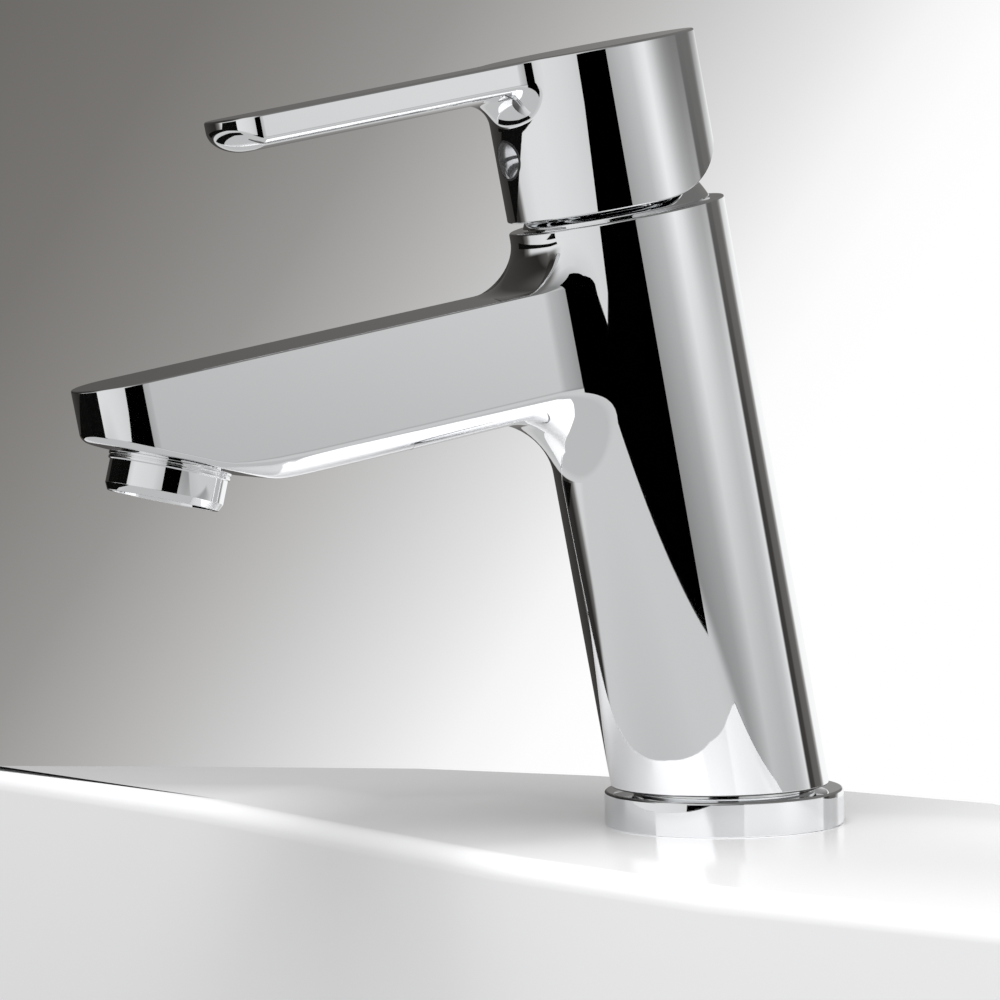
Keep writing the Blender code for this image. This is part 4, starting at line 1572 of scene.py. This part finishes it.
@dataclass
class Studio:
    """The room: a pale deck, soft panels round the faucet, a shaded wall and the camera.

    Bearings are degrees from the spout's way round toward the camera's side.
    """

    camera_place: Point = (0.78273, -0.42230, 0.11628)
    right: Point = (0.42866, 0.90326, -0.018945)
    up: Point = (-0.038811, 0.039361, 0.99845)
    lens: float = 149.91
    sensor: float = 36.0
    panels: Stops = (
        (0, 226, 0), (30, 219, 0), (46, 212, 0), (81, 168, 0), (95, 186, 0), (107, 197, 0),
        (116, 222, 0), (125, 250, 0), (134, 243, 0), (142, 225, 0), (150, 210, 0), (161, 205, 0),
        (168, 228, 0), (171, 236, 0), (173.5, 62, 0.06), (181, 62, 0.06), (184, 95, 0.05),
        (196, 100, 0.05), (201, 160, 0.02), (206, 252, 0), (236, 252, 0), (244, 130, 0.03),
        (252, 70, 0.06), (300, 45, 0.06), (308, 110, 0.03), (314, 212, 0), (335, 226, 0),
        (360, 226, 0),
    )
    overhead: Stops = (
        (0, 225, 0), (45, 215, 0), (90, 130, 0), (150, 110, 0.02), (200, 110, 0.02),
        (230, 118, 0.03), (245, 104, 0.04), (262, 64, 0.06), (322, 45, 0.06), (336, 90, 0.03),
        (348, 205, 0), (360, 225, 0),
    )
    zenith: tuple[float, float] = (105, 0.03)
    wall: Stops = (
        (-0.04, 104, 0.05), (0.20, 117, 0.045), (0.33, 132, 0.04), (0.455, 148, 0.03),
        (0.56, 170, 0.02), (0.64, 186, 0.01), (0.715, 201, 0), (0.85, 227, 0), (0.94, 245, 0),
        (1.02, 253, 0), (1.10, 255, 0),
    )
    wall_middle: float = 0.825
    wall_drop: float = 0.65
    ground: Stops = (
        (-90, 190, 0), (-45, 190, 0), (-24, 190, 0), (-21, 198, 0), (-18, 204, 0), (-12, 204, 0),
        (-9, 194, 0), (0, 194, 0),
    )
    ground_lowest: float = -15.8
    deck_rounding: float = 5.0
    deck_back_rounding: float = 2.0
    deck_depth: float = 160.0
    flag_reach: float = 600.0
    fill_place: Point = (0.38, -0.35, 1.5)
    fill_size: float = 1.4
    fill_power: float = 41.0

    def camera(self) -> Matrix:
        """Sets up the camera.

        Returns:
            Its turn, with its own axes as columns.
        """
        data = bpy.data.cameras.new("camera")
        data.lens = self.lens
        data.sensor_width = self.sensor
        data.clip_start = 0.01
        camera = bpy.data.objects.new("camera", data)
        right = Vector(self.right).normalized()
        back = right.cross(Vector(self.up)).normalized()
        turn = Matrix((right, back.cross(right), back)).transposed()
        camera.matrix_world = Matrix.Translation(self.camera_place) @ turn.to_4x4()
        bpy.context.scene.collection.objects.link(camera)
        bpy.context.scene.camera = camera
        return turn

    def deck(self) -> None:
        """Makes the pale ledge that the faucet stands on, with rounded edges."""
        front = (
            (-420, -150), (-195, -104), (-100, -82), (-40, -74), (24, -64.5), (82, -50), (145, -22),
            (172, -7), (186, 5),
        )
        back = (
            (-420, -148), (-196, -100), (-164, -57), (-128, -12), (-92, 16), (-34, 50), (5, 66),
            (112, 68), (187, 9),
        )
        rounding, rear = self.deck_rounding, self.deck_back_rounding
        bm = bmesh.new()
        rows = []
        for a in spread(0, math.pi / 2, 6):
            out, down = rounding * math.sin(a), rounding * (1 - math.cos(a))
            rows.append([(x, y + rounding - out, -down) for x, y in front])
        rows.append([(x, y, -self.deck_depth) for x, y in front])
        rows = rows[::-1]
        for a in spread(0, math.pi / 2, 4):
            inset, down = rear * (1 - math.sin(a)), rear * (1 - math.cos(a))
            rows.append([(x, y - inset, -down) for x, y in back])
        grid = [[bm.verts.new(Vector(p) * MM) for p in row] for row in rows]
        for near, far in zip(grid, grid[1:]):
            for j in range(len(near) - 1):
                bm.faces.new((near[j], near[j + 1], far[j + 1], far[j]))
        bmesh.ops.recalc_face_normals(bm, faces=bm.faces)
        mesh = bpy.data.meshes.new("deck")
        bm.to_mesh(mesh)
        bm.free()
        mesh.shade_smooth()
        mesh.set_sharp_from_angle(angle=math.radians(30))
        deck = bpy.data.objects.new("deck", mesh)
        bpy.context.scene.collection.objects.link(deck)
        self.paint(deck, "glazed_deck", (0.84, 0.84, 0.85, 1.0), 0.16)
        deck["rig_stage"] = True

    def paint(
        self, obj: bpy.types.Object, name: str, colour: Sequence[float], roughness: float
    ) -> bpy.types.Node:
        """Gives a piece of the studio one plain material.

        Args:
            obj: the piece.
            name: the material's name.
            colour: red, green, blue and alpha.
            roughness: its roughness.

        Returns:
            The material's shader.
        """
        mat = bpy.data.materials.new(name)
        mat.use_nodes = True
        shader = mat.node_tree.nodes["Principled BSDF"]
        shader.inputs["Base Color"].default_value = colour
        shader.inputs["Roughness"].default_value = roughness
        obj.data.materials.append(mat)
        return shader

    def flag(self, name: str, corners: Sequence[Point], shade: float) -> None:
        """Hangs a dark card, out of the camera's sight, for the chrome to mirror.

        Args:
            name: the card's name.
            corners: its corners in order, in millimetres.
            shade: its display shade.
        """
        mesh = bpy.data.meshes.new(name)
        mesh.from_pydata([Vector(p) * MM for p in corners], [], [tuple(range(len(corners)))])
        card = bpy.data.objects.new(name, mesh)
        bpy.context.scene.collection.objects.link(card)
        shader = self.paint(card, name, linear(shade, 0.05), 1.0)
        shader.inputs["Specular IOR Level"].default_value = 0.0
        card.visible_camera = False
        card.visible_shadow = False
        card.visible_diffuse = False
        card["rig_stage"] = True

    def flags(self) -> None:
        """Hangs the dark cards: one on the camera's side and two ahead of the tips."""
        reach = self.flag_reach
        corners = []
        for bearing, height in (
            (80, -75), (80, 240), (57, 240), (50, 66), (46, 33), (40, -14), (33, -35), (26, -69),
            (26, -75),
        ):
            a = math.radians(bearing)
            corners.append((reach * math.sin(a), -reach * math.cos(a), height))
        self.flag("camera_flag", corners, 1)
        for name, low, high in (("spout_flag", 15.0, 64.0), ("lever_flag", 95.0, 118.0)):
            line = ((-24.0, -290.0), (-110.0, -270.0), (-250.0, -125.0))
            for i, (start, end) in enumerate(zip(line, line[1:])):
                corners = [(*start, low), (*end, low), (*end, high), (*start, high)]
                self.flag("%s_%d" % (name, i), corners, 25)

    def room(self, turn: Matrix) -> None:
        """Shades the room by direction.

        Args:
            turn: the camera's axes, which the wall's shading follows.
        """
        world = bpy.data.worlds.new("studio")
        bpy.context.scene.world = world
        world.use_nodes = True
        sky = SkyTree(world.node_tree)
        way = sky.node("ShaderNodeTexCoord").outputs["Generated"]
        x, y, z = sky.node("ShaderNodeSeparateXYZ", way).outputs
        ahead_of_x = sky.maths("MULTIPLY", y, -1.0)
        turn_share = sky.maths("DIVIDE", sky.maths("ARCTAN2", x, ahead_of_x), math.tau)
        bearing = sky.maths("MULTIPLY", sky.maths("WRAP", turn_share, 1.0, 0.0), 360.0)
        height = sky.maths("MULTIPLY", sky.maths("ARCSINE", z), math.degrees(1.0))
        panels = sky.ramp(bearing, 0.0, 360.0, self.panels)
        slope = sky.span(bearing, 134.0, 161.0, 0.060, 0.010)
        slope = sky.maths("MULTIPLY", slope, sky.maths(
            "MULTIPLY", sky.rise(bearing, 76.0, 82.0), sky.rise(bearing, 172.0, 168.0)
        ))
        above = sky.maths("SUBTRACT", height, sky.maths("MULTIPLY_ADD", bearing, 0.145, -14.5))
        fade = sky.maths("EXPONENT", sky.maths("MULTIPLY", slope, sky.maths("MINIMUM", above, 1.0)))
        panels = sky.node("ShaderNodeVectorMath", panels, operation="SCALE")
        panels.inputs["Scale"].default_value = 1.0
        sky.tree.links.new(fade, panels.inputs["Scale"])
        panels = panels.outputs[0]
        overhead = sky.ramp(bearing, 0.0, 360.0, self.overhead)
        panels = sky.blend(sky.rise(height, 2.0, 10.0), panels, overhead)
        panels = sky.blend(sky.rise(height, 30.0, 60.0), panels, linear(*self.zenith))
        lowest = self.ground_lowest
        near = sky.span(bearing, 28.0, 116.0, lowest, -7.8)
        far = sky.span(bearing, 240.0, 360.0, -10.5, lowest)
        side = sky.span(bearing, 122.0, 150.0, 0.0, -6.0)
        edge = sky.maths("ADD", sky.maths("ADD", near, sky.maths("ADD", far, 10.5)), side)
        edge = sky.maths("SUBTRACT", height, sky.maths("MAXIMUM", edge, lowest))
        ground = sky.ramp(height, -90.0, 0.0, self.ground)
        seen = sky.blend(sky.rise(edge, 0.5, -0.5), panels, ground)
        ahead = sky.along(way, -turn.col[2])
        focal = self.lens / self.sensor
        across = sky.maths("DIVIDE", sky.along(way, turn.col[0]), ahead)
        down = sky.maths("DIVIDE", sky.along(way, turn.col[1]), ahead)
        place = sky.maths("MULTIPLY_ADD", across, focal, self.wall_middle)
        place = sky.maths("MULTIPLY_ADD", down, -self.wall_drop * focal, place)
        wall = sky.ramp(place, self.wall[0][0], self.wall[-1][0], self.wall)
        camera_ray = sky.node("ShaderNodeLightPath").outputs["Is Camera Ray"]
        background = world.node_tree.nodes["Background"]
        world.node_tree.links.new(sky.blend(camera_ray, seen, wall), background.inputs["Color"])

    def fill(self) -> None:
        """Adds one soft fill light that reaches matt surfaces and leaves no reflection."""
        data = bpy.data.lights.new("fill", "AREA")
        data.shape = "DISK"
        data.size = self.fill_size
        data.energy = self.fill_power
        light = bpy.data.objects.new("fill", data)
        place = Vector(self.fill_place)
        aim = place.to_track_quat("Z", "Y").to_matrix().to_4x4()
        light.matrix_world = Matrix.Translation(place) @ aim
        light.visible_glossy = False
        light.visible_camera = False
        bpy.context.scene.collection.objects.link(light)

    def build(self) -> None:
        """Builds the whole studio."""
        bpy.context.scene.view_settings.view_transform = "Standard"
        turn = self.camera()
        self.deck()
        self.room(turn)
        self.flags()
        self.fill()


def main() -> None:
    """Builds every sub-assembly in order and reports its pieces."""
    logging.basicConfig(level=logging.INFO, format="%(name)s: %(message)s")
    column = Axis.of_hinge("handle_turn")
    casting = Casting(column)
    tilt = math.radians(OUTLET_TILT)
    seat = column.point(0, casting.seat_forward, casting.seat_up)
    outlet = Axis(seat, Vector((0, math.sin(tilt), math.cos(tilt))))
    for assembly in (
        casting, Handle(column), IndicatorButton(column), Cartridge(column), Aerator(outlet),
        DeckFixings(),
    ):
        for piece in assembly.build():
            faces = len(piece.data.polygons)
            log.info("%s: %d faces, rides on %s", piece.name, faces, piece["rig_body"])
    Studio().build()
    boxes = [[list(corner) for corner in box] for box in (CAD_BOX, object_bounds())]


if __name__ == "__main__":
    main()
